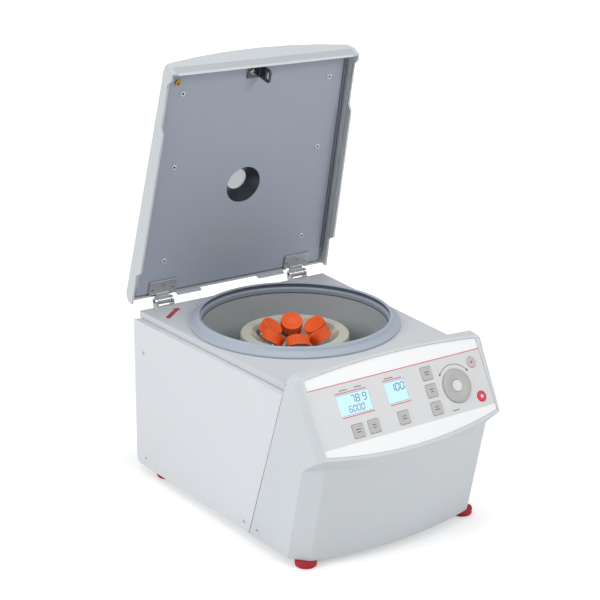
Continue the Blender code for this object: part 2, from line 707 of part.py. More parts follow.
def build_deck(looks):
    deck = solid("deck_plate", pierced(deck_outline(0), SHELF_Z + GAP, DECK_Z), looks["deck"])
    below = pierced(deck_outline(SHEET), SHELF_Z - OVERRUN, DECK_UNDER_Z)
    cut(deck, helper("deck_hollow_cut", below))
    eye = rod(DECK_EYE_RADIUS, SHELF_Z, DECK_Z + OVERRUN, FINE_STEPS)
    cut(deck, helper("deck_eye_cut", eye, (0, y_at(ROTOR_DEPTH), 0)))
    low = (-SLOT_WIDTH / 2, y_at(STRIKER_DEPTH + SLOT_REACH), SHELF_Z - OVERRUN)
    high = (SLOT_WIDTH / 2, y_at(STRIKER_DEPTH - SLOT_REACH), DECK_Z + OVERRUN)
    cut(deck, helper("deck_slot_cut", span_block(low, high)))
    reach = LOCK_HALF_WIDTH + GAP
    low = (-reach, y_at(DECK_DEPTH + OVERRUN), SHELF_Z - OVERRUN)
    high = (reach, y_at(DECK_DEPTH - SHEET - OVERRUN), DECK_UNDER_Z)
    cut(deck, helper("deck_lock_cut", span_block(low, high)))


def outer_points(share):
    """One section of the fascia, as (across, depth, height), at a share of its half width."""
    bow = 1 - share**2
    foot = part_depth(FOOT_HEIGHT) + GAP
    shelf = PART_TOP_DEPTH + GAP
    top = panel_point(-RIM_TOP - OVERLAY_TOP_ARC * bow, RIM_LIFT)
    lip = panel_point(OVERLAY_LENGTH + RIM_FOOT + OVERLAY_FOOT_ARC * bow, RIM_LIFT)
    section = [
        (foot, FOOT_HEIGHT),
        (shelf, SHELF_Z),
        (RIDGE_BACK_DEPTH + GAP + RIDGE_CROWN * bow * RIDGE_LEAN_SHARE, RIDGE_Z + RIDGE_CROWN * bow),
        top,
        lip,
        (LOWER_TOP_DEPTH + LOWER_BOW * bow, LOWER_TOP_Z - LOWER_TOP_SAG * bow),
        (LOWER_FOOT_DEPTH + LOWER_BOW * bow, FOOT_HEIGHT),
    ]
    reach = [half_width(depth) - FASCIA_CHAMFER for depth, _ in section[:5]]
    reach += [LOWER_HALF_WIDTH, LOWER_HALF_WIDTH]
    return section, [share * side for side in reach]


def side_points():
    """The fascia's flat side, inside its chamfer."""
    section, _ = outer_points(1)
    drop = RIDGE_END_DROP
    section[2] = (section[2][0] - drop * RIDGE_LEAN_SHARE, section[2][1] - drop)
    depth, height = section[3]
    section[3] = (depth - SIDE_TOP_INSET[0], height - SIDE_TOP_INSET[1])
    depth, height = section[4]
    section[4] = (depth - SIDE_LIP_INSET[0], height - SIDE_LIP_INSET[1])
    section[5] = (section[5][0] - LOWER_SIDE_SET_BACK, LIP_SIDE_Z)
    section[6] = (section[6][0] - LOWER_SIDE_SET_BACK, FOOT_HEIGHT)
    return section


def inner_section(section):
    """A section of the fascia's hollow, which is open towards the back below the deck."""
    sides = list(zip(section, section[1:] + section[:1]))
    ledge_z = SHELF_Z - FASCIA_WALL
    back = shifted(sides[0], -OVERRUN)
    ledge = ((section[0][0], ledge_z), (section[4][0], ledge_z))
    panel = FASCIA_WALL + RIM_LIFT + OVERLAY_THICKNESS
    walls = [FASCIA_WALL, FASCIA_WALL, panel, FASCIA_WALL, FASCIA_WALL, FASCIA_WALL]
    lines = [back, ledge] + [shifted(line, wall) for line, wall in zip(sides[1:], walls)]
    return [crossing(one, other) for one, other in zip(lines, lines[1:] + lines[:1])]


def fascia_rings(inset):
    shares = [2 * i / (FASCIA_STATIONS - 1) - 1 for i in range(FASCIA_STATIONS)]
    rings = []
    flat = inner_section(side_points()) if inset else side_points()
    for share in [None] + shares + [None]:
        if share is None:
            side = 1 if rings else -1
            ring = [(side * (half_width(d) - inset), y_at(d), z) for d, z in flat]
        else:
            section, across = outer_points(share)
            across = [x - share * inset for x in across]
            if inset:
                section = inner_section(section)
                across = across[1:2] * 2 + across[2:] + across[:1]
            ring = [(x, y_at(d), z) for x, (d, z) in zip(across, section)]
        rings.append(ring)
    return rings


def overlay_outline(margin):
    """The film's outline on the panel, with its bowed upper and lower edges."""
    shares = [2 * i / (FASCIA_STATIONS - 1) - 1 for i in range(FASCIA_STATIONS)]
    reach = OVERLAY_HALF_WIDTH + margin
    upper = [(s * reach, OVERLAY_TOP_ARC * (1 - s**2) + margin) for s in shares]
    low = OVERLAY_LENGTH + margin
    lower = [(-s * reach, -low - OVERLAY_FOOT_ARC * (1 - s**2)) for s in shares]
    return upper + lower


def panel_cutters(frame, wall_side):
    """What passes through the film, or through the fascia's wall, as helpers on the panel."""
    name = "wall" if wall_side else "film"
    low = -KEY_REACH
    high = RIM_LIFT + OVERRUN
    wide = KEY_SIZE[0] + GAP + GAP
    tall = KEY_SIZE[1] + GAP + GAP
    found = []
    for key, (across, down) in KEY_PLACES.items():
        hole = rounded_block((wide, tall, high - low), (0, 0, (high + low) / 2), KEY_CORNER)
        found.append(helper(f"{key}_{name}_cut", hole, (across, -down, 0), parent=frame))
    for key, (across, down) in ROUND_KEY_PLACES.items():
        hole = rod(ROUND_KEY_RADIUS + GAP, low, high)
        found.append(helper(f"{key}_{name}_cut", hole, (across, -down, 0), parent=frame))
    for key, (across, down) in DISPLAY_PLACES.items():
        size = [side + GAP + GAP for side in DISPLAY_SIZES[key]]
        hole = block((*size, high - low), (0, 0, (high + low) / 2))
        found.append(helper(f"{key}_{name}_cut", hole, (across, -down, 0), parent=frame))
    radius = JOG_SPINDLE_RADIUS if wall_side else JOG_RADIUS
    hole = rod(radius + GAP, low, high, ROUND_STEPS if wall_side else FINE_STEPS)
    place = (JOG_PLACE[0], -JOG_PLACE[1], 0)
    found.append(helper(f"jog_{name}_cut", hole, place, parent=frame))
    return found


def build_fascia(looks, frame):
    fascia = solid("front_fascia", lofted(fascia_rings(0)), looks["console"], smooth=SMOOTH)
    cut(fascia, helper("fascia_hollow_cut", lofted(fascia_rings(FASCIA_WALL))))
    floor = -(OVERLAY_THICKNESS + GAP)
    pocket = pierced(overlay_outline(GAP), floor, RIM_LIFT + OVERRUN)
    cut(fascia, helper("panel_pocket_cut", pocket, parent=frame))
    cut(fascia, *panel_cutters(frame, True))
    top = floor - PANEL_WALL / 2
    for number, (across, down) in enumerate(BOSS_PLACES):
        boss = rod(BOSS_RADIUS, -KEY_REACH - KEY_TRAVEL, top)
        join(fascia, helper(f"board_boss_{number}", boss, (across, -down, 0), parent=frame))
    notch = LOCK_HALF_WIDTH + LOCK_EAR + GAP
    depth = PART_TOP_DEPTH + FASCIA_WALL / 2
    for side in (-1, 1):
        outer = half_width(DECK_DEPTH) - SHELF_WIDTH - GAP
        low = (side * notch, y_at(depth), SHELF_Z - FASCIA_WALL)
        high = (side * outer, y_at(PART_TOP_DEPTH - LEDGE_REACH), SHELF_Z)
        ledge = block([abs(b - a) for a, b in zip(low, high)], [(a + b) / 2 for a, b in zip(low, high)])
        join(fascia, helper(f"ledge_{'left' if side < 0 else 'right'}", ledge))


def build_console(looks, frame):
    film = pierced(overlay_outline(0), -OVERLAY_THICKNESS, 0)
    film = solid("control_overlay", film, looks["overlay"], parent=frame)
    cut(film, *panel_cutters(frame, False))
    for name, (across, down) in DISPLAY_PLACES.items():
        depth = DISPLAY_REACH - DISPLAY_DROP
        glass = block((*DISPLAY_SIZES[name], depth), (0, 0, -(DISPLAY_REACH + DISPLAY_DROP) / 2))
        solid(name, glass, looks["display"], (across, -down, 0), parent=frame)
    for name, (across, down) in KEY_PLACES.items():
        depth = KEY_REACH + KEY_PROUD
        key = rounded_block((*KEY_SIZE, depth), (0, 0, (KEY_PROUD - KEY_REACH) / 2), KEY_CORNER)
        solid(name, key, looks["key"], (across, -down, 0), parent=frame)
    for name, (across, down) in ROUND_KEY_PLACES.items():
        key = rod(ROUND_KEY_RADIUS, -KEY_REACH, KEY_PROUD)
        colour = looks["red"] if name == "round_key_red" else looks["key"]
        solid(name, key, colour, (across, -down, 0), parent=frame, smooth=SMOOTH)
    seat = JOG_CAP_RADIUS + GAP
    under = -OVERLAY_THICKNESS + GAP
    edge = JOG_PROUD - JOG_SEAT / 2
    profile = [(0, -KEY_REACH), (JOG_SPINDLE_RADIUS, -KEY_REACH), (JOG_SPINDLE_RADIUS, under)]
    profile += [(JOG_RADIUS, under), (JOG_RADIUS, edge), (JOG_RADIUS - JOG_SEAT / 2, JOG_PROUD)]
    profile += [(seat, JOG_PROUD), (seat, JOG_PROUD - JOG_SEAT), (0, JOG_PROUD - JOG_SEAT)]
    place = (JOG_PLACE[0], -JOG_PLACE[1], 0)
    wheel = turned(profile, FINE_STEPS, looped=False)
    solid("jog_wheel", wheel, looks["key"], place, parent=frame, smooth=SMOOTH)
    disc = rod(JOG_CAP_RADIUS, JOG_PROUD - JOG_SEAT + GAP, JOG_PROUD)
    solid("jog_cap", disc, looks["cap_light"], place, parent=frame, smooth=SMOOTH)
    top = -KEY_REACH - KEY_TRAVEL - GAP
    low = (-BOARD_HALF_WIDTH, -BOARD_SPAN[1], top - BOARD_THICKNESS)
    board = span_block(low, (BOARD_HALF_WIDTH, -BOARD_SPAN[0], top))
    solid("control_board", board, looks["board"], parent=frame)


def build_chamber(looks):
    place = (0, y_at(ROTOR_DEPTH), 0)
    outer = BOWL_RADIUS
    inner = outer - BOWL_WALL
    top = DECK_UNDER_Z - GAP
    floor = BOWL_FLOOR_Z
    corner = BOWL_CORNER
    quarter = math.pi / 2
    inside = arc((inner - corner, floor + corner), corner, -quarter, 0, CORNER_STEPS)
    bend = corner + BOWL_WALL
    outside = arc((inner - corner, floor + corner), bend, 0, -quarter, CORNER_STEPS)
    rim = [(inner, top), (outer + BOWL_FLANGE, top), (outer + BOWL_FLANGE, top - BOWL_WALL)]
    rim.append((outer, top - BOWL_WALL))
    eye = BOWL_EYE_RADIUS
    profile = [(eye, floor)] + inside + rim + outside + [(eye, floor - BOWL_WALL)]
    bowl = turned(profile, FINE_STEPS)
    solid("bowl", bowl, looks["bowl"], place, smooth=SMOOTH)
    base = DECK_Z + GAP
    lip_top = PLATE_Z - SEAL_TOP_GAP
    rise = lip_top - base
    neck = DECK_EYE_RADIUS - GAP
    profile = [
        (SEAL_INNER_RADIUS, DECK_UNDER_Z),
        (neck, DECK_UNDER_Z),
        (neck, base),
        (SEAL_BASE_RADIUS, base),
        (SEAL_BASE_RADIUS, base + SEAL_FOOT),
        (SEAL_LIP_RADIUS + SEAL_FOOT, base + rise / 2),
        (SEAL_LIP_RADIUS + SEAL_FOOT / 2, lip_top - SEAL_FOOT / 2),
        (SEAL_LIP_RADIUS, lip_top),
        (SEAL_LIP_RADIUS - SEAL_FOOT / 2, lip_top),
        (SEAL_INNER_RADIUS, lip_top - SEAL_FOOT),
    ]
    solid("chamber_seal", turned(profile, FINE_STEPS), looks["seal"], place, smooth=SMOOTH)


def build_rotor(looks):
    spin = empty("rotor_axis", (0, y_at(ROTOR_DEPTH), 0))
    cup_rise = (ROTOR_CUP_RADIUS - ROTOR_CUP_FLOOR_RADIUS) * math.tan(TUBE_TILT)
    cup_floor = ROTOR_CUP_Z - cup_rise
    hub = SHAFT_RADIUS + GAP
    profile = [
        (hub, ROTOR_FOOT_Z),
        (ROTOR_HUB_RADIUS, ROTOR_FOOT_Z),
        (ROTOR_SKIRT_RADIUS - ROTOR_EDGE, ROTOR_SKIRT_FOOT_Z),
        (ROTOR_SKIRT_RADIUS, ROTOR_SKIRT_FOOT_Z + ROTOR_EDGE),
        (ROTOR_SKIRT_RADIUS, ROTOR_SKIRT_TOP_Z - ROTOR_EDGE),
        (ROTOR_SKIRT_RADIUS - ROTOR_EDGE, ROTOR_SKIRT_TOP_Z),
        (ROTOR_RIM_RADIUS + ROTOR_EDGE, ROTOR_COLLAR_Z),
        (ROTOR_RIM_RADIUS, ROTOR_COLLAR_Z + ROTOR_EDGE),
        (ROTOR_RIM_RADIUS, ROTOR_RIM_Z - ROTOR_EDGE / 2),
        (ROTOR_RIM_RADIUS - ROTOR_EDGE / 2, ROTOR_RIM_Z),
        (ROTOR_CUP_RADIUS + ROTOR_EDGE, ROTOR_RIM_Z),
        (ROTOR_CUP_RADIUS, ROTOR_CUP_Z),
        (ROTOR_CUP_FLOOR_RADIUS, cup_floor),
        (hub, cup_floor),
    ]
    body = turned(profile, FINE_STEPS)
    rotor = solid("rotor", body, looks["rotor"], parent=spin, smooth=SMOOTH)
    barrel = TUBE_LENGTH - TUBE_CONE
    wide = TUBE_RADIUS + SEAT_CLEARANCE
    tip = TUBE_TIP_RADIUS + SEAT_CLEARANCE
    end = -TUBE_LENGTH - SEAT_CLEARANCE
    bore = [(0, end), (tip, end), (wide, -barrel), (wide, 0), (0, 0)]
    skin = TUBE_RADIUS - TUBE_WALL
    mouth = -(CAP_WALL + GAP)
    tube = [
        (0, -TUBE_LENGTH),
        (TUBE_TIP_RADIUS, -TUBE_LENGTH),
        (TUBE_RADIUS, -barrel),
        (TUBE_RADIUS, -CAP_HEIGHT - GAP - GAP),
        (CAP_RADIUS - CAP_WALL - GAP, -CAP_HEIGHT),
        (CAP_RADIUS - CAP_WALL - GAP, mouth),
        (skin - TUBE_WALL, mouth),
        (skin - TUBE_WALL, -CAP_HEIGHT),
        (skin, -CAP_HEIGHT - TUBE_WALL),
        (skin, -barrel),
        (TUBE_TIP_RADIUS - TUBE_WALL, -TUBE_LENGTH + TUBE_WALL),
        (0, -TUBE_LENGTH + TUBE_WALL),
    ]
    cap = [
        (0, 0),
        (CAP_RADIUS - TUBE_WALL, 0),
        (CAP_RADIUS, -TUBE_WALL),
        (CAP_RADIUS, -CAP_HEIGHT),
        (CAP_RADIUS - CAP_WALL, -CAP_HEIGHT),
        (CAP_RADIUS - CAP_WALL, -CAP_WALL),
        (0, -CAP_WALL),
    ]
    for number in range(TUBE_COUNT):
        turn = TUBE_PHASE + math.tau * number / TUBE_COUNT
        place = (TUBE_RING_RADIUS * math.cos(turn), TUBE_RING_RADIUS * math.sin(turn), TUBE_TOP_Z)
        tilt = (0, -TUBE_TILT, turn)
        opening = turned(bore, TUBE_STEPS, looped=False)
        cut(rotor, helper(f"bore_{number + 1}", opening, place, tilt, spin))
        glass = turned(tube, TUBE_STEPS, looped=False)
        solid(f"tube_{number + 1}", glass, looks["tube"], place, tilt, spin, SMOOTH)
        lid = turned(cap, TUBE_STEPS, looped=False)
        solid(f"cap_{number + 1}", lid, looks["cap"], place, tilt, spin, SMOOTH)
    build_drive(looks, spin, cup_floor)


def build_drive(looks, spin, cup_floor):
    nut_base = cup_floor + GAP
    stud_top = nut_base + SHAFT_STUD
    collar_top = ROTOR_FOOT_Z - GAP
    foot = MOTOR_TOP_Z - MOTOR_BOSS
    profile = [
        (0, foot),
        (SHAFT_RADIUS, foot),
        (SHAFT_RADIUS, collar_top - SHAFT_COLLAR),
        (SHAFT_COLLAR_RADIUS, collar_top - SHAFT_COLLAR),
        (SHAFT_COLLAR_RADIUS, collar_top),
        (SHAFT_RADIUS, collar_top),
        (SHAFT_RADIUS, stud_top),
        (0, stud_top),
    ]
    shaft = turned(profile, ROUND_STEPS, looped=False)
    solid("drive_shaft", shaft, looks["steel"], parent=spin, smooth=SMOOTH)
    roof = stud_top + GAP
    profile = [
        (SHAFT_RADIUS + GAP, nut_base),
        (NUT_RADIUS, nut_base),
        (NUT_RADIUS, roof + NUT_TOP / 2),
        (NUT_RADIUS - NUT_TOP / 2, roof + NUT_TOP),
        (0, roof + NUT_TOP),
        (0, roof),
        (SHAFT_RADIUS + GAP, roof),
    ]
    nut = turned(profile, ROUND_STEPS)
    solid("rotor_nut", nut, looks["steel"], parent=spin, smooth=SMOOTH)
    place = (0, y_at(ROTOR_DEPTH), 0)
    bottom = FOOT_HEIGHT + SHEET + GAP + MOUNT_LEG + MOUNT_THICKNESS + GAP
    boss_top = MOTOR_TOP_Z + MOTOR_BOSS
    bore = SHAFT_RADIUS + GAP
    profile = [
        (0, bottom),
        (MOTOR_RADIUS, bottom),
        (MOTOR_RADIUS, MOTOR_TOP_Z),
        (MOTOR_BOSS_RADIUS, MOTOR_TOP_Z),
        (MOTOR_BOSS_RADIUS, boss_top),
        (bore, boss_top),
        (bore, foot - GAP),
        (0, foot - GAP),
    ]
    motor = turned(profile, FINE_STEPS, looped=False)
    solid("drive_motor", motor, looks["motor"], place, smooth=SMOOTH)
    low = FOOT_HEIGHT + SHEET + GAP
    mount = rod(MOUNT_RADIUS, low + MOUNT_LEG, low + MOUNT_LEG + MOUNT_THICKNESS, FINE_STEPS)
    mount = solid("motor_mount", mount, looks["steel"], place, smooth=SMOOTH)
    for number in range(MOUNT_LEGS):
        turn = math.tau * number / MOUNT_LEGS
        leg = rod(MOUNT_LEG_RADIUS, low, low + MOUNT_LEG + MOUNT_THICKNESS / 2)
        circle = MOUNT_LEG_CIRCLE
        offset = (circle * math.cos(turn), circle * math.sin(turn) + place[1], 0)
        join(mount, helper(f"mount_leg_{number}", leg, offset))


def lid_ring(share, inset, drop, foot):
    """One section of the lid, from its rear face to its slanted front face."""
    rear = inset - LID_REAR_OVERHANG

    def point(side, inward, height):
        front = PART_TOP_DEPTH - LID_FRONT_GAP + RIDGE_LEAN_SHARE * (height - SHELF_Z) - inset
        depth = rear + share * (front - rear)
        return side * (half_width(depth) - inset - inward), depth, height

    def roof(across):
        side = 1 if across > 0 else -1
        depth = point(1, 0, LID_SHOULDER_FRONT_Z)[1]
        height = roof_height(depth, across) - inset - drop
        edge = point(side, LID_CHAMFER, height)
        return edge[0] * abs(across), edge[1], height

    depth = point(1, 0, LID_SHOULDER_FRONT_Z)[1]
    shoulder = roof_height(depth, 1) - LID_CHAMFER - inset
    ring = [point(-1, 0, foot), point(-1, 0, shoulder - drop)]
    ring += [roof(across) for across in LID_ACROSS_SHARES]
    return ring + [point(1, 0, shoulder - drop), point(1, 0, foot)]


def lid_body(inset, foot):
    """The lid's outer shape, or its hollow, as a closed skin."""
    bevel = LID_CHAMFER / PLATE_FRONT_DEPTH
    rings = [lid_ring(0, inset, LID_CHAMFER, foot)]
    for share in (bevel, *LID_ALONG_SHARES, 1 - bevel):
        rings.append(lid_ring(share, inset, 0, foot))
    rings.append(lid_ring(1, inset, LID_CHAMFER, foot))
    return lofted(rings)


def lid_space(bm):
    """Maps (across, depth, height) of the closed lid into the frame of its hinge axis."""
    for vert in bm.verts:
        across, depth, height = vert.co
        vert.co = (across, -(depth + HINGE_BACK), height - HINGE_Z)
    return bm


def build_lid_shell(looks, swing):
    foot = SHELF_Z + FLANGE_CLEARANCE
    shell = lid_space(lid_body(0, foot))
    shell = solid("lid_shell", shell, looks["console"], parent=swing, smooth=SMOOTH)
    hollow = lid_space(lid_body(LID_WALL, foot - OVERRUN))
    cut(shell, helper("lid_hollow_cut", hollow, parent=swing))
    low = foot - OVERRUN
    rear_top = foot + FLANGE_REAR_STEP
    behind = -LID_REAR_OVERHANG - OVERRUN
    rear = [(behind, low), (behind, rear_top), (REAR_STEP_DEPTH, rear_top)]
    rear += [(REAR_STEP_DEPTH + STEP_RUN, foot), (REAR_STEP_DEPTH + STEP_RUN, low)]
    raised = foot + FLANGE_STEP
    middle = [(DEEP_END_DEPTH, low), (DEEP_END_DEPTH, foot), (DEEP_END_DEPTH + STEP_RUN, raised)]
    middle += [(CORNER_STEP_DEPTH, raised), (CORNER_STEP_DEPTH + STEP_RUN, foot)]
    middle.append((CORNER_STEP_DEPTH + STEP_RUN, low))
    wide = HALF_BACK + OVERRUN
    for name, profile in (("rear_step_cut", rear), ("middle_step_cut", middle)):
        cut(shell, helper(name, lid_space(extruded(profile, -wide, wide)), parent=swing))
    wall_foot = PLATE_Z - REAR_WALL_DROP
    inner = half_width(0) - LID_WALL
    reach = LID_WALL - LID_REAR_OVERHANG + GAP
    edges = [-inner] + [end for tab in REAR_TABS for end in tab] + [inner]
    for number in range(0, len(edges), 2):
        span = span_block((edges[number], behind, low), (edges[number + 1], reach, wall_foot))
        cut(shell, helper(f"rear_wall_cut_{number}", lid_space(span), parent=swing))
    for side in (-1, 1):
        ends = sorted(side * (HINGE_X + end) for end in (-HINGE_NOTCH, HINGE_NOTCH))
        top = PLATE_Z + HINGE_NOTCH_RISE
        span = span_block((ends[0], behind, low), (ends[1], reach, top))
        cut(shell, helper(f"hinge_notch_cut_{side}", lid_space(span), parent=swing))
        for number, (across, depth) in enumerate(PILLAR_PLACES):
            top = roof_height(depth, across / half_width(depth)) - LID_WALL / 2
            pillar = rod(PILLAR_RADIUS, PLATE_Z + PLATE_THICKNESS + GAP, top, TUBE_STEPS)
            pillar = lid_space(moved(pillar, (side * across, depth, 0)))
            join(shell, helper(f"pillar_{side}_{number}", pillar, parent=swing))
    eye = rod(PORT_WINDOW_RADIUS + GAP, PLATE_Z, LID_ROOF_TOP_Z, ROUND_STEPS)
    eye = lid_space(moved(eye, (0, ROTOR_DEPTH, 0)))
    cut(shell, helper("window_eye_cut", eye, parent=swing))


def build_lid(looks, swing):
    build_lid_shell(looks, swing)
    ends = (PLATE_BACK_DEPTH, PLATE_FRONT_DEPTH)
    left = [(-(half_width(end) - PLATE_SIDE_SET_BACK), end) for end in ends]
    outline = left + [(-a, b) for a, b in reversed(left)]
    plate = pierced(outline, PLATE_Z, PLATE_Z + PLATE_THICKNESS)
    upright = [e for e in plate.edges if abs((e.verts[0].co - e.verts[1].co).z) > GAP]
    bmesh.ops.bevel(
        plate,
        geom=upright,
        offset=PLATE_CORNER,
        segments=CORNER_STEPS,
        profile=0.5,
        affect="EDGES",
        clamp_overlap=True,
    )
    plate = solid("lid_plate", lid_space(plate), looks["lid_plate"], parent=swing)
    hole = rod(PORT_RADIUS, PLATE_Z - OVERRUN, PLATE_Z + OVERRUN, FINE_STEPS)
    hole = lid_space(moved(hole, (0, ROTOR_DEPTH, 0)))
    cut(plate, helper("port_cut", hole, parent=swing))
    low = PLATE_Z + PLATE_THICKNESS + GAP
    roof = roof_height(ROTOR_DEPTH, 0)
    window_low = roof - WINDOW_THICKNESS - SHEET
    top = window_low - GAP
    edge = PORT_RADIUS + PORT_FLANGE
    profile = [
        (PORT_RADIUS, low),
        (edge, low),
        (edge, low + PORT_WALL),
        (PORT_RADIUS + PORT_WALL, low + PORT_WALL),
        (PORT_WINDOW_RADIUS - GAP, top),
        (PORT_WINDOW_RADIUS - GAP - PORT_WALL, top),
    ]
    cup = lid_space(moved(turned(profile, FINE_STEPS), (0, ROTOR_DEPTH, 0)))
    solid("port_cup", cup, looks["dark"], parent=swing, smooth=SMOOTH)
    disc = rod(PORT_WINDOW_RADIUS, window_low, roof - SHEET, FINE_STEPS)
    disc = lid_space(moved(disc, (0, ROTOR_DEPTH, 0)))
    solid("viewing_window", disc, looks["window"], parent=swing, smooth=SMOOTH)
    tip = PLATE_Z - STRIKER_REACH
    half = STRIKER_THICKNESS / 2
    near = STRIKER_DEPTH - STRIKER_BREADTH / 2
    far = STRIKER_DEPTH + STRIKER_BREADTH / 2
    foot = PLATE_Z - GAP
    bevel = STRIKER_BAR
    blade = [(near, foot), (near, tip + bevel), (near + bevel, tip), (far - bevel, tip)]
    blade += [(far, tip + bevel), (far, foot)]
    blade = lid_space(extruded(blade, -half, half))
    striker = solid("lock_striker", blade, looks["steel"], parent=swing)
    reach, thick = STRIKER_BASE
    base = lid_space(span_block((-reach, near, foot - thick), (half, far, foot)))
    join(striker, helper("striker_base", base, parent=swing))
    low = (-OVERRUN, STRIKER_DEPTH - STRIKER_WINDOW[0] / 2, tip + STRIKER_BAR)
    high = (OVERRUN, STRIKER_DEPTH + STRIKER_WINDOW[0] / 2, tip + STRIKER_BAR + STRIKER_WINDOW[1])
    cut(striker, helper("striker_window_cut", lid_space(span_block(low, high)), parent=swing))
    screw = rod(EARTH_SCREW[0], PLATE_Z - GAP - EARTH_SCREW[1], PLATE_Z - GAP, TUBE_STEPS)
    screw = lid_space(moved(screw, (*EARTH_SCREW_PLACE, 0)))
    solid("earth_screw", screw, looks["brass"], parent=swing, smooth=SMOOTH)


def build_hinges(looks, swing):
    for name, side in (("left", -1), ("right", 1)):
        across = side * HINGE_X
        half = LEAF_WIDTH / 2
        top = PLATE_Z - GAP
        low = (across - half, PLATE_BACK_DEPTH - SHEET, top - LEAF_THICKNESS)
        leaf = span_block(low, (across + half, low[1] + LEAF_LENGTH, top))
        leaf = solid(f"lid_leaf_{name}", lid_space(leaf), looks["steel"], parent=swing)
        half = TONGUE_WIDTH / 2
        low = (across - half, -HINGE_BACK, top - TONGUE_THICKNESS)
        tongue = lid_space(span_block(low, (across + half, SHEET, top - GAP)))
        join(leaf, helper(f"tongue_{name}", tongue, parent=swing))
        barrel = moved(across_x(BARREL_RADIUS, TONGUE_WIDTH), (across, 0, 0))
        join(leaf, helper(f"barrel_{name}", barrel, parent=swing))
        hole = moved(across_x(PIN_RADIUS + GAP, TONGUE_WIDTH + OVERRUN), (across, 0, 0))
        cut(leaf, helper(f"barrel_cut_{name}", hole, parent=swing))
        axis = y_at(-HINGE_BACK)
        inner = TONGUE_WIDTH / 2 + GAP
        outer = inner + CHEEK
        face = y_at(0) + GAP
        foot = DECK_Z - GAP - BRACKET_HEIGHT
        low = (across - outer, face, foot)
        plate = span_block(low, (across + outer, face + BRACKET_PLATE, DECK_Z - GAP))
        bracket = solid(f"hinge_bracket_{name}", plate, looks["steel"])
        for hand in (-1, 1):
            circle = arc((axis, HINGE_Z), BARREL_RADIUS, 0, math.pi, ROUND_STEPS // 2)
            profile = circle + [(face, DECK_Z - GAP), (face, foot), (face + BRACKET_PLATE, foot)]
            ends = sorted(across + hand * end for end in (inner, outer))
            cheek = extruded(profile, *ends)
            join(bracket, helper(f"cheek_{name}_{hand}", cheek))
        length = outer + outer + OVERRUN
        place = (across, axis, HINGE_Z)
        hole = across_x(PIN_RADIUS + GAP, length)
        cut(bracket, helper(f"bracket_cut_{name}", hole, place))
        pin = across_x(PIN_RADIUS, outer + outer + GAP)
        solid(f"hinge_pin_{name}", pin, looks["steel"], place, smooth=SMOOTH)


def across_x(radius, length):
    """A rod along X, centred."""
    return laid(rod(radius, -length / 2, length / 2))


def build_lock(looks):
    top = DECK_UNDER_Z - GAP
    low = (-LOCK_HALF_WIDTH, y_at(LOCK_FRONT_DEPTH), top - LOCK_HEIGHT)
    high = (LOCK_HALF_WIDTH, y_at(LOCK_BACK_DEPTH), top)
    lock = solid("lock_unit", span_block(low, high), looks["dark"])
    low = (-SLOT_WIDTH / 2, y_at(STRIKER_DEPTH + SLOT_REACH), PLATE_Z - STRIKER_REACH - SLOT_MARGIN)
    high = (SLOT_WIDTH / 2, y_at(STRIKER_DEPTH - SLOT_REACH), top + OVERRUN)
    cut(lock, helper("lock_slot_cut", span_block(low, high)))
    height = PLATE_Z - STRIKER_REACH + STRIKER_BAR + STRIKER_WINDOW[1] / 2
    length, breadth, thick = BOLT_SIZE
    size = (LOCK_HALF_WIDTH, breadth + BOLT_PLAY + BOLT_PLAY, thick + BOLT_PLAY + BOLT_PLAY)
    place = (LOCK_HALF_WIDTH / 2, y_at(STRIKER_DEPTH), height)
    cut(lock, helper("bolt_way_cut", block(size, place)))
    pocket = BOLT_TRAVEL - SLOT_WIDTH / 2
    size = (pocket + pocket, size[1], size[2])
    place = (-SLOT_WIDTH / 2, y_at(STRIKER_DEPTH), height)
    cut(lock, helper("bolt_pocket_cut", block(size, place)))
    middle = SLOT_WIDTH / 2 + BOLT_PLAY + length / 2
    place = (middle, y_at(STRIKER_DEPTH), height)
    solid("lock_bolt", block(BOLT_SIZE), looks["steel"], place)


def build_feet(looks):
    for name, (across, depth) in (("front", FRONT_FOOT), ("rear", REAR_FOOT)):
        for hand, side in (("left", -1), ("right", 1)):
            top = FOOT_HEIGHT - GAP
            profile = [(0, 0), (FOOT_RADIUS - FOOT_TOE, 0), (FOOT_RADIUS, FOOT_TOE)]
            profile += [(FOOT_RADIUS, top), (0, top)]
            foot = turned(profile, ROUND_STEPS, looped=False)
            place = (side * across, y_at(depth), 0)
            solid(f"foot_{name}_{hand}", foot, looks["foot"], place, smooth=SMOOTH)


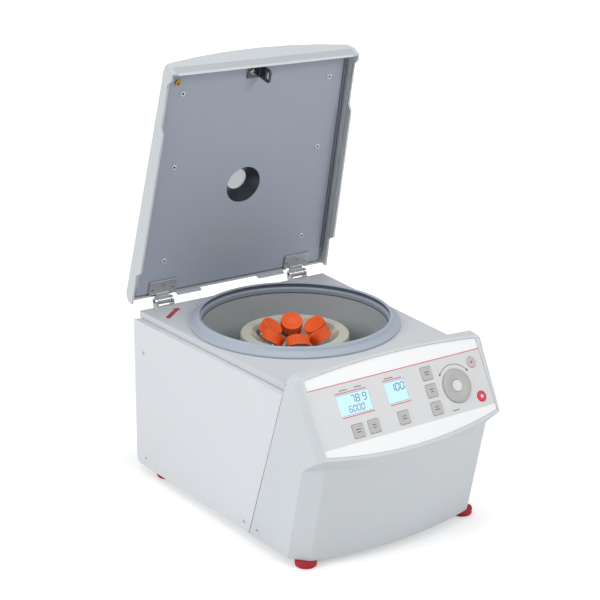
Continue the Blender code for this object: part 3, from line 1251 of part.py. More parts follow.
def build_inlet(looks):
    across, height = INLET_PLACE
    face = y_at(0) + GAP
    out = face + INLET_FLANGE
    half_wide = INLET_SIZE[0] / 2
    half_tall = INLET_SIZE[1] / 2
    low = (across - half_wide, face, height - half_tall)
    inlet = span_block(low, (across + half_wide, out, height + half_tall))
    inlet = solid("power_inlet", inlet, looks["dark"])
    wide, tall, deep = INLET_BODY
    low = (across - wide / 2, face - deep, height - tall / 2)
    body = span_block(low, (across + wide / 2, face + INLET_FLANGE / 2, height + tall / 2))
    join(inlet, helper("inlet_body", body))
    wide, tall, deep = SOCKET_SIZE
    middle = across + SOCKET_PLACE
    low = (middle - wide / 2, out - deep, height - tall / 2)
    cut(inlet, helper("socket_cut", span_block(low, (middle + wide / 2, out + OVERRUN, height + tall / 2))))
    for number in range(3):
        wide, tall, length = PRONG_SIZE
        drop = -PRONG_DROP if number == 1 else PRONG_DROP
        centre = middle + (number - 1) * PRONG_SPREAD
        low = (centre - wide / 2, out - deep - INLET_FLANGE / 2, height + drop - tall / 2)
        high = (centre + wide / 2, out - deep + length, height + drop + tall / 2)
        join(inlet, helper(f"prong_{number}", span_block(low, high)))
    centre = across + ROCKER_PLACE
    radius = ROCKER_SIZE[1] / 2
    width = ROCKER_SIZE[0]
    place = (centre, out, height)
    seat = across_x(radius + GAP, width + GAP + GAP)
    cut(inlet, helper("rocker_seat_cut", seat, place))
    rim = arc((0, 0), radius, math.pi / 2 + ROCKER_TILT, 1.5 * math.pi - ROCKER_TILT, ROUND_STEPS // 2)
    crest = (ROCKER_LIFT * ROCKER_CREST_SHARE, 0)
    rocker = extruded(rim + [crest], -width / 2, width / 2)
    solid("mains_rocker", rocker, looks["dark"], place, (ROCKER_TILT, 0, 0))


def build_power_board(looks):
    across, depth = POWER_BOARD_PLACE
    wide, deep = POWER_BOARD_WIDTH, POWER_BOARD_LENGTH
    base = FOOT_HEIGHT + SHEET + GAP
    low = (across - wide / 2, y_at(depth + deep / 2), base + STANDOFF)
    high = (across + wide / 2, y_at(depth - deep / 2), base + STANDOFF + BOARD_THICKNESS)
    board = solid("power_board", span_block(low, high), looks["board"])
    inset = STANDOFF_RADIUS + SHEET
    for number in range(4):
        side = 1 if number % 2 else -1
        end = 1 if number // 2 else -1
        place = (across + side * (wide / 2 - inset), y_at(depth + end * (deep / 2 - inset)), 0)
        post = rod(STANDOFF_RADIUS, base, base + STANDOFF + BOARD_THICKNESS / 2, TUBE_STEPS)
        join(board, helper(f"standoff_{number}", post, place))
    wide, deep, tall = wide * HEAT_SINK_WIDTH_SHARE, HEAT_SINK_LENGTH, HEAT_SINK_HEIGHT
    foot = base + STANDOFF + BOARD_THICKNESS / 2
    sink = block((wide, deep, tall), (across, y_at(depth), foot + tall / 2))
    join(board, helper("heat_sink", sink))
    fin = wide / (HEAT_SINK_SLOTS + HEAT_SINK_SLOTS + 1)
    for number in range(HEAT_SINK_SLOTS):
        place = across - wide / 2 + fin * (2 * number + 1.5)
        low = (place - fin / 2, y_at(depth + deep), foot + tall / HEAT_SINK_SLOTS)
        high = (place + fin / 2, y_at(depth - deep), foot + tall + OVERRUN)
        cut(board, helper(f"fin_cut_{number}", span_block(low, high)))


def main():
    clear_scene()
    looks = make_finishes()
    build_casing(looks)
    build_deck(looks)
    place = (0, y_at(PANEL_TOP_DEPTH), PANEL_TOP_Z)
    frame = empty("panel_frame", place, (math.pi / 2 - PANEL_TILT, 0, 0))
    build_fascia(looks, frame)
    build_console(looks, frame)
    build_chamber(looks)
    build_rotor(looks)
    swing = empty("lid_axis", (0, y_at(-HINGE_BACK), HINGE_Z), (-LID_OPEN, 0, 0))
    build_lid(looks, swing)
    build_hinges(looks, swing)
    build_lock(looks)
    build_feet(looks)
    build_inlet(looks)
    build_power_board(looks)


main()
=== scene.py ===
"""Looks for the bench centrifuge: finishes, printed marks, screws, ribs, studio and camera.

Every CAD solid is carried over as a merged, softened copy of itself or replaced by a finer
piece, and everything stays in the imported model's own frame, in metres.
"""

from __future__ import annotations

import json
import logging
import math
from dataclasses import dataclass, field
from enum import Enum
from typing import Callable, Iterable, Sequence

import bmesh
import bpy
from mathutils import Matrix, Vector

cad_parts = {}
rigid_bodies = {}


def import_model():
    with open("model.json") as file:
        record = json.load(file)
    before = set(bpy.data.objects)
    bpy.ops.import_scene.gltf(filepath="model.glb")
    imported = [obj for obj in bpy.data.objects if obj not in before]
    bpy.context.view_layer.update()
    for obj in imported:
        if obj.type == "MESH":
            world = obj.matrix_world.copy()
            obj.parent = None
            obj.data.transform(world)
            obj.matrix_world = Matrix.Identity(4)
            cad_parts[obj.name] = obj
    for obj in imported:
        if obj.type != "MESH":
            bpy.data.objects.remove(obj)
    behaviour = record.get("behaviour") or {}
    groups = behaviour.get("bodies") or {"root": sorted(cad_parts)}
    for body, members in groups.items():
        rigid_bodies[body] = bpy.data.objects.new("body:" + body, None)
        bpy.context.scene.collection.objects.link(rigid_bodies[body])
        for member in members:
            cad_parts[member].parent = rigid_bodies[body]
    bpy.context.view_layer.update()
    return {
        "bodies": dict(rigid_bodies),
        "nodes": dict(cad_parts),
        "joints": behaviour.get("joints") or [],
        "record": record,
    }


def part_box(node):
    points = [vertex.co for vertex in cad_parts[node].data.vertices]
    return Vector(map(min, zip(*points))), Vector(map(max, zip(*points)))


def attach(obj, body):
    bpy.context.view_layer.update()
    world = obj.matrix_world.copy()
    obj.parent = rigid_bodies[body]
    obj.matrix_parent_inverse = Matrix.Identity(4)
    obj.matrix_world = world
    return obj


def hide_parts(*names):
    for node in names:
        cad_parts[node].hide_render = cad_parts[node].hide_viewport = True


LOG = logging.getLogger("centrifuge")
Colour = tuple[float, float, float]
Place = tuple[float, float]


def linear(red: int, green: int, blue: int) -> Colour:
    """Turns a colour as seen on screen into the linear values that shaders use.

    Args:
        red: Red from 0 to 255.
        green: Green from 0 to 255.
        blue: Blue from 0 to 255.

    Returns:
        The three linear values, from 0 to 1.
    """

    def one(value: int) -> float:
        """Returns one channel in linear light."""
        share = value / 255
        return share / 12.92 if share <= 0.04045 else ((share + 0.055) / 1.055) ** 2.4

    return one(red), one(green), one(blue)


class Surface(Enum):
    """The finishes that the machine wears."""

    CASING = "casing_paint"
    CONSOLE = "console_plastic"
    LID_SHELL = "lid_shell_plastic"
    SEAM_SHADOW = "seam_shadow"
    GUTTER_SHADE = "painted_gutter_shade"
    LID_SHADE = "lid_painted_shade"
    ZINC = "screw_zinc"
    LID_HIGHLIGHT = "lid_painted_highlight"
    STRIKER = "striker_chrome"
    DECK = "deck_plastic"
    LID_PLATE = "lid_plate_paint"
    FILM_WHITE = "film_white"
    FILM_GREY = "film_grey"
    PRINT_RED = "print_red"
    PRINT_DARK = "print_dark"
    DISPLAY = "display_glass"
    SEGMENT = "display_segments"
    KEY = "key_film"
    KEY_ROUND = "round_key_film"
    KEY_RED = "red_key"
    JOG = "jog_wheel_plastic"
    JOG_CAP = "jog_cap_light"
    SEAL = "seal_rubber"
    SEAL_SHADE = "seal_painted_shade"
    SEAL_HALF_SHADE = "seal_painted_half_shade"
    BOWL = "bowl_steel"
    ROTOR = "rotor_ivory"
    TUBE = "tube_clear"
    SAMPLE = "tube_graduation"
    CAP = "cap_orange"
    STEEL = "bright_steel"
    CHROME = "hinge_chrome"
    HINGE_LEAF = "hinge_leaf_cast"
    BRASS = "earth_brass"
    DARK = "dark_plastic"
    CUP = "port_cup_dark"
    RECESS_SHADE = "recess_painted_shade"
    BOARD = "board_green"
    MOTOR = "motor_casting"
    FOOT = "foot_rubber"
    WINDOW = "port_window"
    ARROW = "arrow_red"


class Nodes:
    """Short cuts for wiring one node tree."""

    def __init__(self, tree: bpy.types.NodeTree) -> None:
        """Keeps the tree.

        Args:
            tree: The material's or group's node tree.
        """
        self.tree = tree

    def add(self, kind: str, **values: object) -> bpy.types.Node:
        """Adds a node and sets its properties or its input sockets.

        Args:
            kind: The node's Blender type name.
            **values: Properties, or inputs by their names with _ for a space.

        Returns:
            The new node.
        """
        node = self.tree.nodes.new(kind)
        for key, value in values.items():
            if hasattr(node, key):
                setattr(node, key, value)
            else:
                node.inputs[key.replace("_", " ")].default_value = value
        return node

    def join(self, source: bpy.types.NodeSocket, target: bpy.types.NodeSocket) -> None:
        """Links one socket to another."""
        self.tree.links.new(source, target)


class Effects:
    """Node groups that several finishes share."""

    @staticmethod
    def grain() -> bpy.types.NodeTree:
        """Builds the group that gives broad mottling and fine grain.

        Returns:
            The group, with the inputs Vector, Broad and Fine and the outputs Mottle and Grain.
        """
        found = bpy.data.node_groups.get("moulded_grain")
        if found:
            return found
        group = bpy.data.node_groups.new("moulded_grain", "ShaderNodeTree")
        face = group.interface
        face.new_socket("Vector", in_out="INPUT", socket_type="NodeSocketVector")
        for name, value in (("Broad", 30.0), ("Fine", 900.0)):
            face.new_socket(name, in_out="INPUT", socket_type="NodeSocketFloat").default_value = value
        for name in ("Mottle", "Grain"):
            face.new_socket(name, in_out="OUTPUT", socket_type="NodeSocketFloat")
        nodes = Nodes(group)
        start = nodes.add("NodeGroupInput")
        end = nodes.add("NodeGroupOutput")
        for size, detail, result in (("Broad", 3.0, "Mottle"), ("Fine", 2.0, "Grain")):
            noise = nodes.add("ShaderNodeTexNoise", Detail=detail, Roughness=0.55)
            nodes.join(start.outputs["Vector"], noise.inputs["Vector"])
            nodes.join(start.outputs[size], noise.inputs["Scale"])
            nodes.join(noise.outputs["Fac"], end.inputs[result])
        return group


@dataclass(frozen=True)
class Finish:
    """An opaque finish: paint, plastic, rubber or metal with its own grain.

    Attributes:
        colour: Linear base colour.
        shade: How much darker the mottling gets, as a share.
        roughness: Roughness at its lowest and highest.
        metallic: 1 for bare metal.
        broad: Scale of the mottling, per metre.
        fine: Scale of the grain, per metre.
        depth: Height of the grain's bump, in metres.
        coat: Weight of a clear coat.
        stretch: How far the grain is drawn out along each axis.
        glow: Strength of the surface's own light.
    """

    colour: Colour
    shade: float = 0.04
    roughness: tuple[float, float] = (0.38, 0.48)
    metallic: float = 0.0
    broad: float = 22.0
    fine: float = 1400.0
    depth: float = 0.00002
    coat: float = 0.0
    stretch: tuple[float, float, float] = (1.0, 1.0, 1.0)
    glow: float = 0.0

    def make(self, name: str) -> bpy.types.Material:
        """Builds the material.

        Args:
            name: The material's name.

        Returns:
            The material, with its grain read from Object coordinates.
        """
        made = bpy.data.materials.new(name)
        made.use_nodes = True
        nodes = Nodes(made.node_tree)
        shader = made.node_tree.nodes["Principled BSDF"]
        place = nodes.add("ShaderNodeTexCoord")
        drawn = nodes.add("ShaderNodeMapping")
        drawn.inputs["Scale"].default_value = self.stretch
        grain = nodes.add("ShaderNodeGroup", node_tree=Effects.grain(), Broad=self.broad, Fine=self.fine)
        nodes.join(place.outputs["Object"], drawn.inputs["Vector"])
        nodes.join(drawn.outputs["Vector"], grain.inputs["Vector"])
        dark = tuple(channel * (1 - self.shade) for channel in self.colour)
        pale = tuple(min(1.0, channel * (1 + self.shade)) for channel in self.colour)
        tint = nodes.add("ShaderNodeMix", data_type="RGBA")
        tint.inputs[6].default_value = (*dark, 1)
        tint.inputs[7].default_value = (*pale, 1)
        nodes.join(grain.outputs["Mottle"], tint.inputs["Factor"])
        colour = tint.outputs[2]
        nodes.join(colour, shader.inputs["Base Color"])
        low, high = self.roughness
        rough = nodes.add("ShaderNodeMapRange", From_Min=0.3, From_Max=0.7, To_Min=low, To_Max=high)
        nodes.join(grain.outputs["Grain"], rough.inputs["Value"])
        nodes.join(rough.outputs["Result"], shader.inputs["Roughness"])
        bump = nodes.add("ShaderNodeBump", Distance=self.depth, Strength=0.6)
        nodes.join(grain.outputs["Grain"], bump.inputs["Height"])
        nodes.join(bump.outputs["Normal"], shader.inputs["Normal"])
        shader.inputs["Metallic"].default_value = self.metallic
        shader.inputs["Coat Weight"].default_value = self.coat
        if self.glow:
            nodes.join(colour, shader.inputs["Emission Color"])
            shader.inputs["Emission Strength"].default_value = self.glow
        made.diffuse_color = (*self.colour, 1)
        return made


@dataclass(frozen=True)
class ClearFinish(Finish):
    """A see-through finish for tubes and the viewing window.

    Attributes:
        clear: Share of the light that passes straight through.
        bend: Index of refraction.
    """

    clear: float = 0.9
    bend: float = 1.3

    def make(self, name: str) -> bpy.types.Material:
        """Builds the material from the opaque one.

        Args:
            name: The material's name.

        Returns:
            The material, with plain transmission.
        """
        made = super().make(name)
        shader = made.node_tree.nodes["Principled BSDF"]
        shader.inputs["Transmission Weight"].default_value = self.clear
        shader.inputs["IOR"].default_value = self.bend
        return made


FINISHES: dict[Surface, Finish] = {
    Surface.CASING: Finish(linear(226, 229, 233), 0.012, (0.42, 0.50), fine=1800),
    Surface.CONSOLE: Finish(linear(215, 220, 224), 0.014, (0.36, 0.44), fine=1600),
    Surface.LID_SHELL: Finish(linear(210, 215, 219), 0.014, (0.36, 0.44), fine=1600),
    # Painted shadow: dark grey for the hairline gaps beside the front.
    Surface.SEAM_SHADOW: Finish(linear(140, 144, 149), 0.03, (0.50, 0.60), fine=1200),
    # Painted shade: grey for the floors and rails of the lid's side channels.
    Surface.GUTTER_SHADE: Finish(linear(136, 144, 156), 0.03, (0.42, 0.50), fine=1200),
    # Painted shade: a darker copy of the lid plastic for the front wall's band and the channels' inner walls.
    Surface.LID_SHADE: Finish(linear(190, 196, 202), 0.02, (0.42, 0.50), fine=1200),
    Surface.ZINC: Finish(linear(224, 227, 231), 0.02, (0.28, 0.38), 0.25, fine=1200),
    # Painted highlight: a lighter copy of the lid plastic for the front wall's lit foot.
    Surface.LID_HIGHLIGHT: Finish(linear(240, 243, 246), 0.008, (0.32, 0.40), fine=1600),
    Surface.STRIKER: Finish(linear(96, 99, 104), 0.03, (0.16, 0.24), 1.0, fine=1600, depth=0.000005),
    Surface.DECK: Finish(linear(215, 219, 223), 0.014, (0.40, 0.48), fine=1600),
    Surface.LID_PLATE: Finish(linear(170, 178, 193), 0.02, (0.34, 0.42), fine=1500),
    Surface.FILM_WHITE: Finish(linear(249, 251, 252), 0.004, (0.30, 0.36), fine=2400, depth=0.00001),
    Surface.FILM_GREY: Finish(linear(219, 221, 223), 0.008, (0.32, 0.38), fine=2400, depth=0.00001),
    Surface.PRINT_RED: Finish(linear(214, 32, 64), 0.03, (0.32, 0.38), depth=0.00001),
    Surface.PRINT_DARK: Finish(linear(52, 54, 60), 0.03, (0.32, 0.38), depth=0.00001),
    Surface.DISPLAY: Finish(linear(176, 222, 244), 0.02, (0.26, 0.34), depth=0.000002, coat=0.15, glow=0.25),
    Surface.SEGMENT: Finish(linear(40, 58, 92), 0.03, (0.16, 0.22), depth=0.000002),
    Surface.KEY: Finish(linear(190, 190, 187), 0.015, (0.38, 0.46), fine=2000),
    Surface.KEY_ROUND: Finish(linear(201, 193, 190), 0.015, (0.38, 0.46), fine=2000),
    Surface.KEY_RED: Finish(linear(222, 30, 66), 0.02, (0.34, 0.42), fine=2000),
    Surface.JOG: Finish(linear(184, 184, 181), 0.015, (0.36, 0.44), fine=2000),
    Surface.JOG_CAP: Finish(linear(229, 230, 232), 0.01, (0.34, 0.42), fine=2000),
    Surface.SEAL: Finish(linear(178, 187, 201), 0.03, (0.46, 0.58), fine=900, depth=0.00004),
    # Painted shade: dark and mid-dark copies of the seal rubber for its groove, its foot and its inner ring.
    Surface.SEAL_SHADE: Finish(linear(84, 92, 104), 0.04, (0.50, 0.60), fine=900, depth=0.00004),
    Surface.SEAL_HALF_SHADE: Finish(linear(146, 154, 167), 0.03, (0.46, 0.58), fine=900, depth=0.00004),
    Surface.BOWL: Finish(
        linear(186, 190, 194), 0.03, (0.36, 0.48), 0.25, fine=500, depth=0.00001, stretch=(1, 1, 6)
    ),
    Surface.ROTOR: Finish(linear(203, 206, 190), 0.015, (0.34, 0.42), fine=1500),
    Surface.TUBE: ClearFinish(linear(232, 236, 240), 0.01, (0.08, 0.14), depth=0.000004),
    Surface.SAMPLE: Finish(linear(92, 88, 112), 0.05, (0.40, 0.50)),
    Surface.CAP: Finish(linear(242, 92, 16), 0.03, (0.40, 0.50), fine=1500),
    Surface.STEEL: Finish(linear(196, 198, 200), 0.03, (0.24, 0.34), 1.0, fine=1200, depth=0.00001),
    Surface.CHROME: Finish(linear(200, 201, 204), 0.02, (0.12, 0.20), 1.0, fine=1600, depth=0.000005),
    Surface.HINGE_LEAF: Finish(
        linear(186, 188, 190), 0.14, (0.28, 0.46), 0.8, broad=700, fine=1500, depth=0.00012
    ),
    Surface.BRASS: Finish(linear(214, 164, 58), 0.05, (0.24, 0.34), 1.0),
    Surface.DARK: Finish(linear(38, 39, 42), 0.06, (0.42, 0.52), fine=1400),
    Surface.CUP: Finish(linear(50, 55, 66), 0.05, (0.26, 0.34), fine=1400),
    # Painted shade: near black for the shade inside screw recesses and sockets.
    Surface.RECESS_SHADE: Finish(linear(24, 24, 28), 0.06, (0.50, 0.60)),
    Surface.BOARD: Finish(linear(34, 92, 62), 0.10, (0.34, 0.46), fine=700),
    Surface.MOTOR: Finish(linear(150, 152, 156), 0.06, (0.38, 0.52), 0.7, fine=900, depth=0.00005),
    Surface.FOOT: Finish(linear(178, 30, 44), 0.04, (0.48, 0.60), fine=1100, depth=0.00004),
    Surface.WINDOW: ClearFinish(linear(236, 240, 244), 0.01, (0.04, 0.08), depth=0.000002, bend=1.05),
    Surface.ARROW: Finish(linear(186, 36, 48), 0.03, (0.34, 0.42), depth=0.00001),
}


class Workshop:
    """Makes pieces, dresses them and hands them to the frame."""

    def __init__(self, frame: dict) -> None:
        """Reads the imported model.
        """
        self.nodes: dict[str, bpy.types.Object] = frame["nodes"]
        self.joints = {joint["name"]: joint for joint in frame["joints"]}
        self.slots = {part["node"]: part["material_slot"] for part in frame["record"]["subparts"]}
        self.body_of = {
            node: body for body, members in frame["record"]["behaviour"]["bodies"].items() for node in members
        }
        self.materials: dict[Surface, bpy.types.Material] = {}

    def material(self, surface: Surface) -> bpy.types.Material:
        """Returns a surface's material, made on its first use."""
        if surface not in self.materials:
            self.materials[surface] = FINISHES[surface].make(surface.value)
        return self.materials[surface]

    def piece(
        self,
        name: str,
        bm: bmesh.types.BMesh,
        surface: Surface,
        body: str,
        slot: str,
        stands_for: Sequence[str] = (),
        bevel: float = 0.0,
        sharp: float = 35.0,
        place: Matrix | None = None,
    ) -> bpy.types.Object:
        """Turns a bmesh into a piece that rides on a body.

        Args:
            name: The piece's name.
            bm: Its mesh, which is used up.
            surface: Its finish.
            body: The CAD body that it moves with.
            slot: The record's material slot; not used.
            stands_for: The CAD nodes that it replaces.
            bevel: Width of its softened edges, or 0 for none.
            sharp: Angle in degrees past which an edge stays sharp.
            place: Where the mesh goes, or None where it is in the frame already.

        Returns:
            The new object, at the origin with its place in its mesh.
        """
        if place is not None:
            bmesh.ops.transform(bm, matrix=place, verts=bm.verts[:])
        mesh = bpy.data.meshes.new(name)
        bm.to_mesh(mesh)
        bm.free()
        mesh.materials.append(self.material(surface))
        mesh.shade_smooth()
        made = bpy.data.objects.new(name, mesh)
        bpy.context.scene.collection.objects.link(made)
        if bevel:
            soft = made.modifiers.new("soft_edges", "BEVEL")
            soft.width = bevel
            soft.segments = 3
            soft.limit_method = "ANGLE"
            soft.angle_limit = math.radians(28)
            soft.use_clamp_overlap = True
            soft.miter_outer = "MITER_ARC"
            even = made.modifiers.new("even_shading", "WEIGHTED_NORMAL")
            even.keep_sharp = True
        else:
            mesh.set_sharp_from_angle(angle=math.radians(sharp))
        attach(made, body)
        if stands_for:
            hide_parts(*stands_for)
        LOG.info("piece %s on %s", name, body)
        return made

    def carried(self, node: str, surface: Surface, bevel: float = 0.0005) -> bpy.types.Object:
        """Dresses a merged copy of a CAD node, with its edges softened.

        Args:
            node: The CAD node's name.
            surface: The copy's finish.
            bevel: Width of the softened edges, or 0 for none.

        Returns:
            The copy, which stands for the node.
        """
        return self.stand_in(node, self.merged(node, 0.6), surface, bevel)

    def stand_in(
        self, node: str, bm: bmesh.types.BMesh, surface: Surface, bevel: float, place: Matrix | None = None
    ) -> bpy.types.Object:
        """Turns a reworked copy of a CAD node into the piece that stands for it.

        Args:
            node: The CAD node's name.
            bm: The copy, which is used up.
            surface: Its finish.
            bevel: Width of the softened edges, or 0 for none.
            place: Where the mesh goes, or None where it is in the frame already.

        Returns:
            The piece.
        """
        name = f"{node}_dressed"
        return self.piece(name, bm, surface, self.body_of[node], self.slots[node], (node,), bevel, place=place)

    def merged(self, node: str, flat: float = 0.0) -> bmesh.types.BMesh:
        """Makes a merged copy of a CAD node's mesh.

        Args:
            node: The CAD node's name.
            flat: Angle in degrees up to which neighbouring triangles become one face, or 0 for none.

        Returns:
            The copy.
        """
        bm = bmesh.new()
        bm.from_mesh(self.nodes[node].data)
        bmesh.ops.remove_doubles(bm, verts=bm.verts[:], dist=0.00001)
        if flat:
            limit = math.radians(flat)
            bmesh.ops.dissolve_limit(bm, angle_limit=limit, verts=bm.verts[:], edges=bm.edges[:])
        return bm

    def joint_place(self, name: str) -> Vector:
        """Returns the point that a joint turns about."""
        return Vector(self.joints[name]["pos_m"])


class Form:
    """Shapes made with bmesh operators."""

    @staticmethod
    def lathe(profile: Iterable[Place], steps: int) -> bmesh.types.BMesh:
        """Spins a closed outline of (radius, height) points about Z.

        Args:
            profile: The outline, which may start and end on the axis.
            steps: Faces round the full turn.

        Returns:
            The closed solid.
        """
        bm = bmesh.new()
        points = [bm.verts.new((radius, 0, height)) for radius, height in profile]
        pairs = list(zip(points, points[1:] + points[:1]))
        edges = [bm.edges.new(pair) for pair in pairs if pair[0].co.x or pair[1].co.x]
        bmesh.ops.spin(
            bm, geom=points + edges, cent=(0, 0, 0), axis=(0, 0, 1), angle=math.tau, steps=steps, use_merge=True
        )
        bmesh.ops.remove_doubles(bm, verts=bm.verts[:], dist=0.000001)
        bm.normal_update()
        bmesh.ops.recalc_face_normals(bm, faces=bm.faces[:])
        return bm

    @staticmethod
    def slab(size: Sequence[float], centre: Sequence[float] = (0, 0, 0)) -> bmesh.types.BMesh:
        """Makes a box of full sizes round a centre.

        Args:
            size: Its three full sizes.
            centre: Its middle.

        Returns:
            The box.
        """
        bm = bmesh.new()
        place = Matrix.Translation(Vector(centre)) @ Matrix.Diagonal((*size, 1))
        bmesh.ops.create_cube(bm, size=1, matrix=place)
        return bm

    @staticmethod
    def plate(outline: Sequence[Place], low: float, high: float) -> bmesh.types.BMesh:
        """Raises a flat outline into a plate.

        Args:
            outline: Its points, across and up.
            low: Height of its underside.
            high: Height of its top.

        Returns:
            The plate.
        """
        bm = bmesh.new()
        face = bm.faces.new([bm.verts.new((x, y, low)) for x, y in outline])
        raised = bmesh.ops.extrude_face_region(bm, geom=[face])["geom"]
        verts = [item for item in raised if isinstance(item, bmesh.types.BMVert)]
        bmesh.ops.translate(bm, verts=verts, vec=(0, 0, high - low))
        bm.normal_update()
        bmesh.ops.recalc_face_normals(bm, faces=bm.faces[:])
        return bm

    @staticmethod
    def merge(parts: Iterable[bmesh.types.BMesh]) -> bmesh.types.BMesh:
        """Gathers several meshes into one.

        Args:
            parts: The meshes, which are used up.

        Returns:
            One mesh that holds them all.
        """
        whole = bmesh.new()
        for part in parts:
            held = bpy.data.meshes.new("held")
            part.to_mesh(held)
            part.free()
            whole.from_mesh(held)
            bpy.data.meshes.remove(held)
        return whole

    @staticmethod
    def refine(
        bm: bmesh.types.BMesh,
        chosen: Callable[[bmesh.types.BMFace], bool],
        grid: Sequence[tuple[int, float, float, int]],
    ) -> list[bmesh.types.BMVert]:
        """Cuts chosen faces along evenly spaced planes, so that they can follow a curve.

        Args:
            bm: The mesh.
            chosen: Says whether a face is one of them.
            grid: For each direction, its axis, where it starts and ends, and the number of cuts.

        Returns:
            The corners of the chosen faces.
        """
        for axis, start, end, cuts in grid:
            normal = [0.0, 0.0, 0.0]
            normal[axis] = 1.0
            for index in range(cuts):
                bm.normal_update()
                faces = [face for face in bm.faces if chosen(face)]
                edges = list({edge for face in faces for edge in face.edges})
                verts = list({vert for face in faces for vert in face.verts})
                at = start + (end - start) * (index + 0.5) / cuts
                bmesh.ops.bisect_plane(
                    bm,
                    geom=verts + edges + faces,
                    dist=0.00001,
                    plane_co=[at * part for part in normal],
                    plane_no=normal,
                )
        bm.normal_update()
        return list({vert for face in bm.faces if chosen(face) for vert in face.verts})

    @staticmethod
    def moved(bm: bmesh.types.BMesh, place: Matrix) -> bmesh.types.BMesh:
        """Puts a mesh somewhere and returns it."""
        bmesh.ops.transform(bm, matrix=place, verts=bm.verts[:])
        return bm


@dataclass
class Screw:
    """A small pan-head screw with a cross recess.

    Attributes:
        radius: Radius of the head.
        height: Height of the head.
        slot: Width of the cross recess.
    """

    radius: float = 0.0030
    height: float = 0.0014
    slot: float = 0.0007

    def head(self) -> bmesh.types.BMesh:
        """Returns the head, standing on z = 0."""
        edge = self.radius * 0.72
        profile = [
            (0, 0),
            (self.radius, 0),
            (self.radius, self.height * 0.45),
            (edge, self.height * 0.9),
            (self.slot, self.height),
            (0, self.height),
        ]
        return Form.lathe(profile, 20)

    def cross(self) -> bmesh.types.BMesh:
        """Returns a thin dark cross let into the head, as painted shade in place of the recess."""
        reach = self.radius * 1.25
        top = self.height * 0.99
        bars = [(reach, self.slot, top), (self.slot, reach, top)]
        return Form.merge(Form.slab(bar, (0, 0, top / 2 + 0.00002)) for bar in bars)

    def fit(self, shop: Workshop, name: str, body: str, places: Sequence[Matrix], surface: Surface) -> None:
        """Fits screws at several places.

        Args:
            shop: The workshop.
            name: The group's name.
            body: The CAD body that carries them.
            places: Where each head stands, with Z outwards.
            surface: The heads' finish.
        """
        slot = Surface.STEEL.value if surface is not Surface.BRASS else Surface.BRASS.value
        heads = Form.merge(Form.moved(self.head(), place) for place in places)
        shop.piece(f"{name}_heads", heads, surface, body, slot)
        # Painted shade: dark crosses and socket floors where the recesses are.
        marks = Form.merge(Form.moved(self.cross(), place) for place in places)
        shop.piece(f"{name}_recess_shades", marks, Surface.RECESS_SHADE, body, Surface.DARK.value)


@dataclass
class SocketScrew(Screw):
    """A round-head screw with a deep socket in its middle."""

    def head(self) -> bmesh.types.BMesh:
        """Returns the ring-shaped head, standing on z = 0."""
        edge = self.radius * 0.8
        profile = [
            (self.slot, 0),
            (self.radius, 0),
            (self.radius, self.height * 0.6),
            (edge, self.height),
            (self.slot, self.height * 0.9),
        ]
        return Form.lathe(profile, 24)

    def cross(self) -> bmesh.types.BMesh:
        """Returns a dark disc on the socket's floor, as painted shade inside the socket."""
        return Form.lathe([(0, 0), (self.slot - 0.0001, 0), (self.slot - 0.0001, 0.0003), (0, 0.0003)], 12)


def upright(place: Sequence[float], normal: Sequence[float]) -> Matrix:
    """Makes the matrix that stands a piece's Z along a normal.

    Args:
        place: Where the piece's origin goes.
        normal: The direction that its Z takes.

    Returns:
        The matrix.
    """
    turn = Vector(normal).to_track_quat("Z", "Y").to_matrix().to_4x4()
    return Matrix.Translation(Vector(place)) @ turn


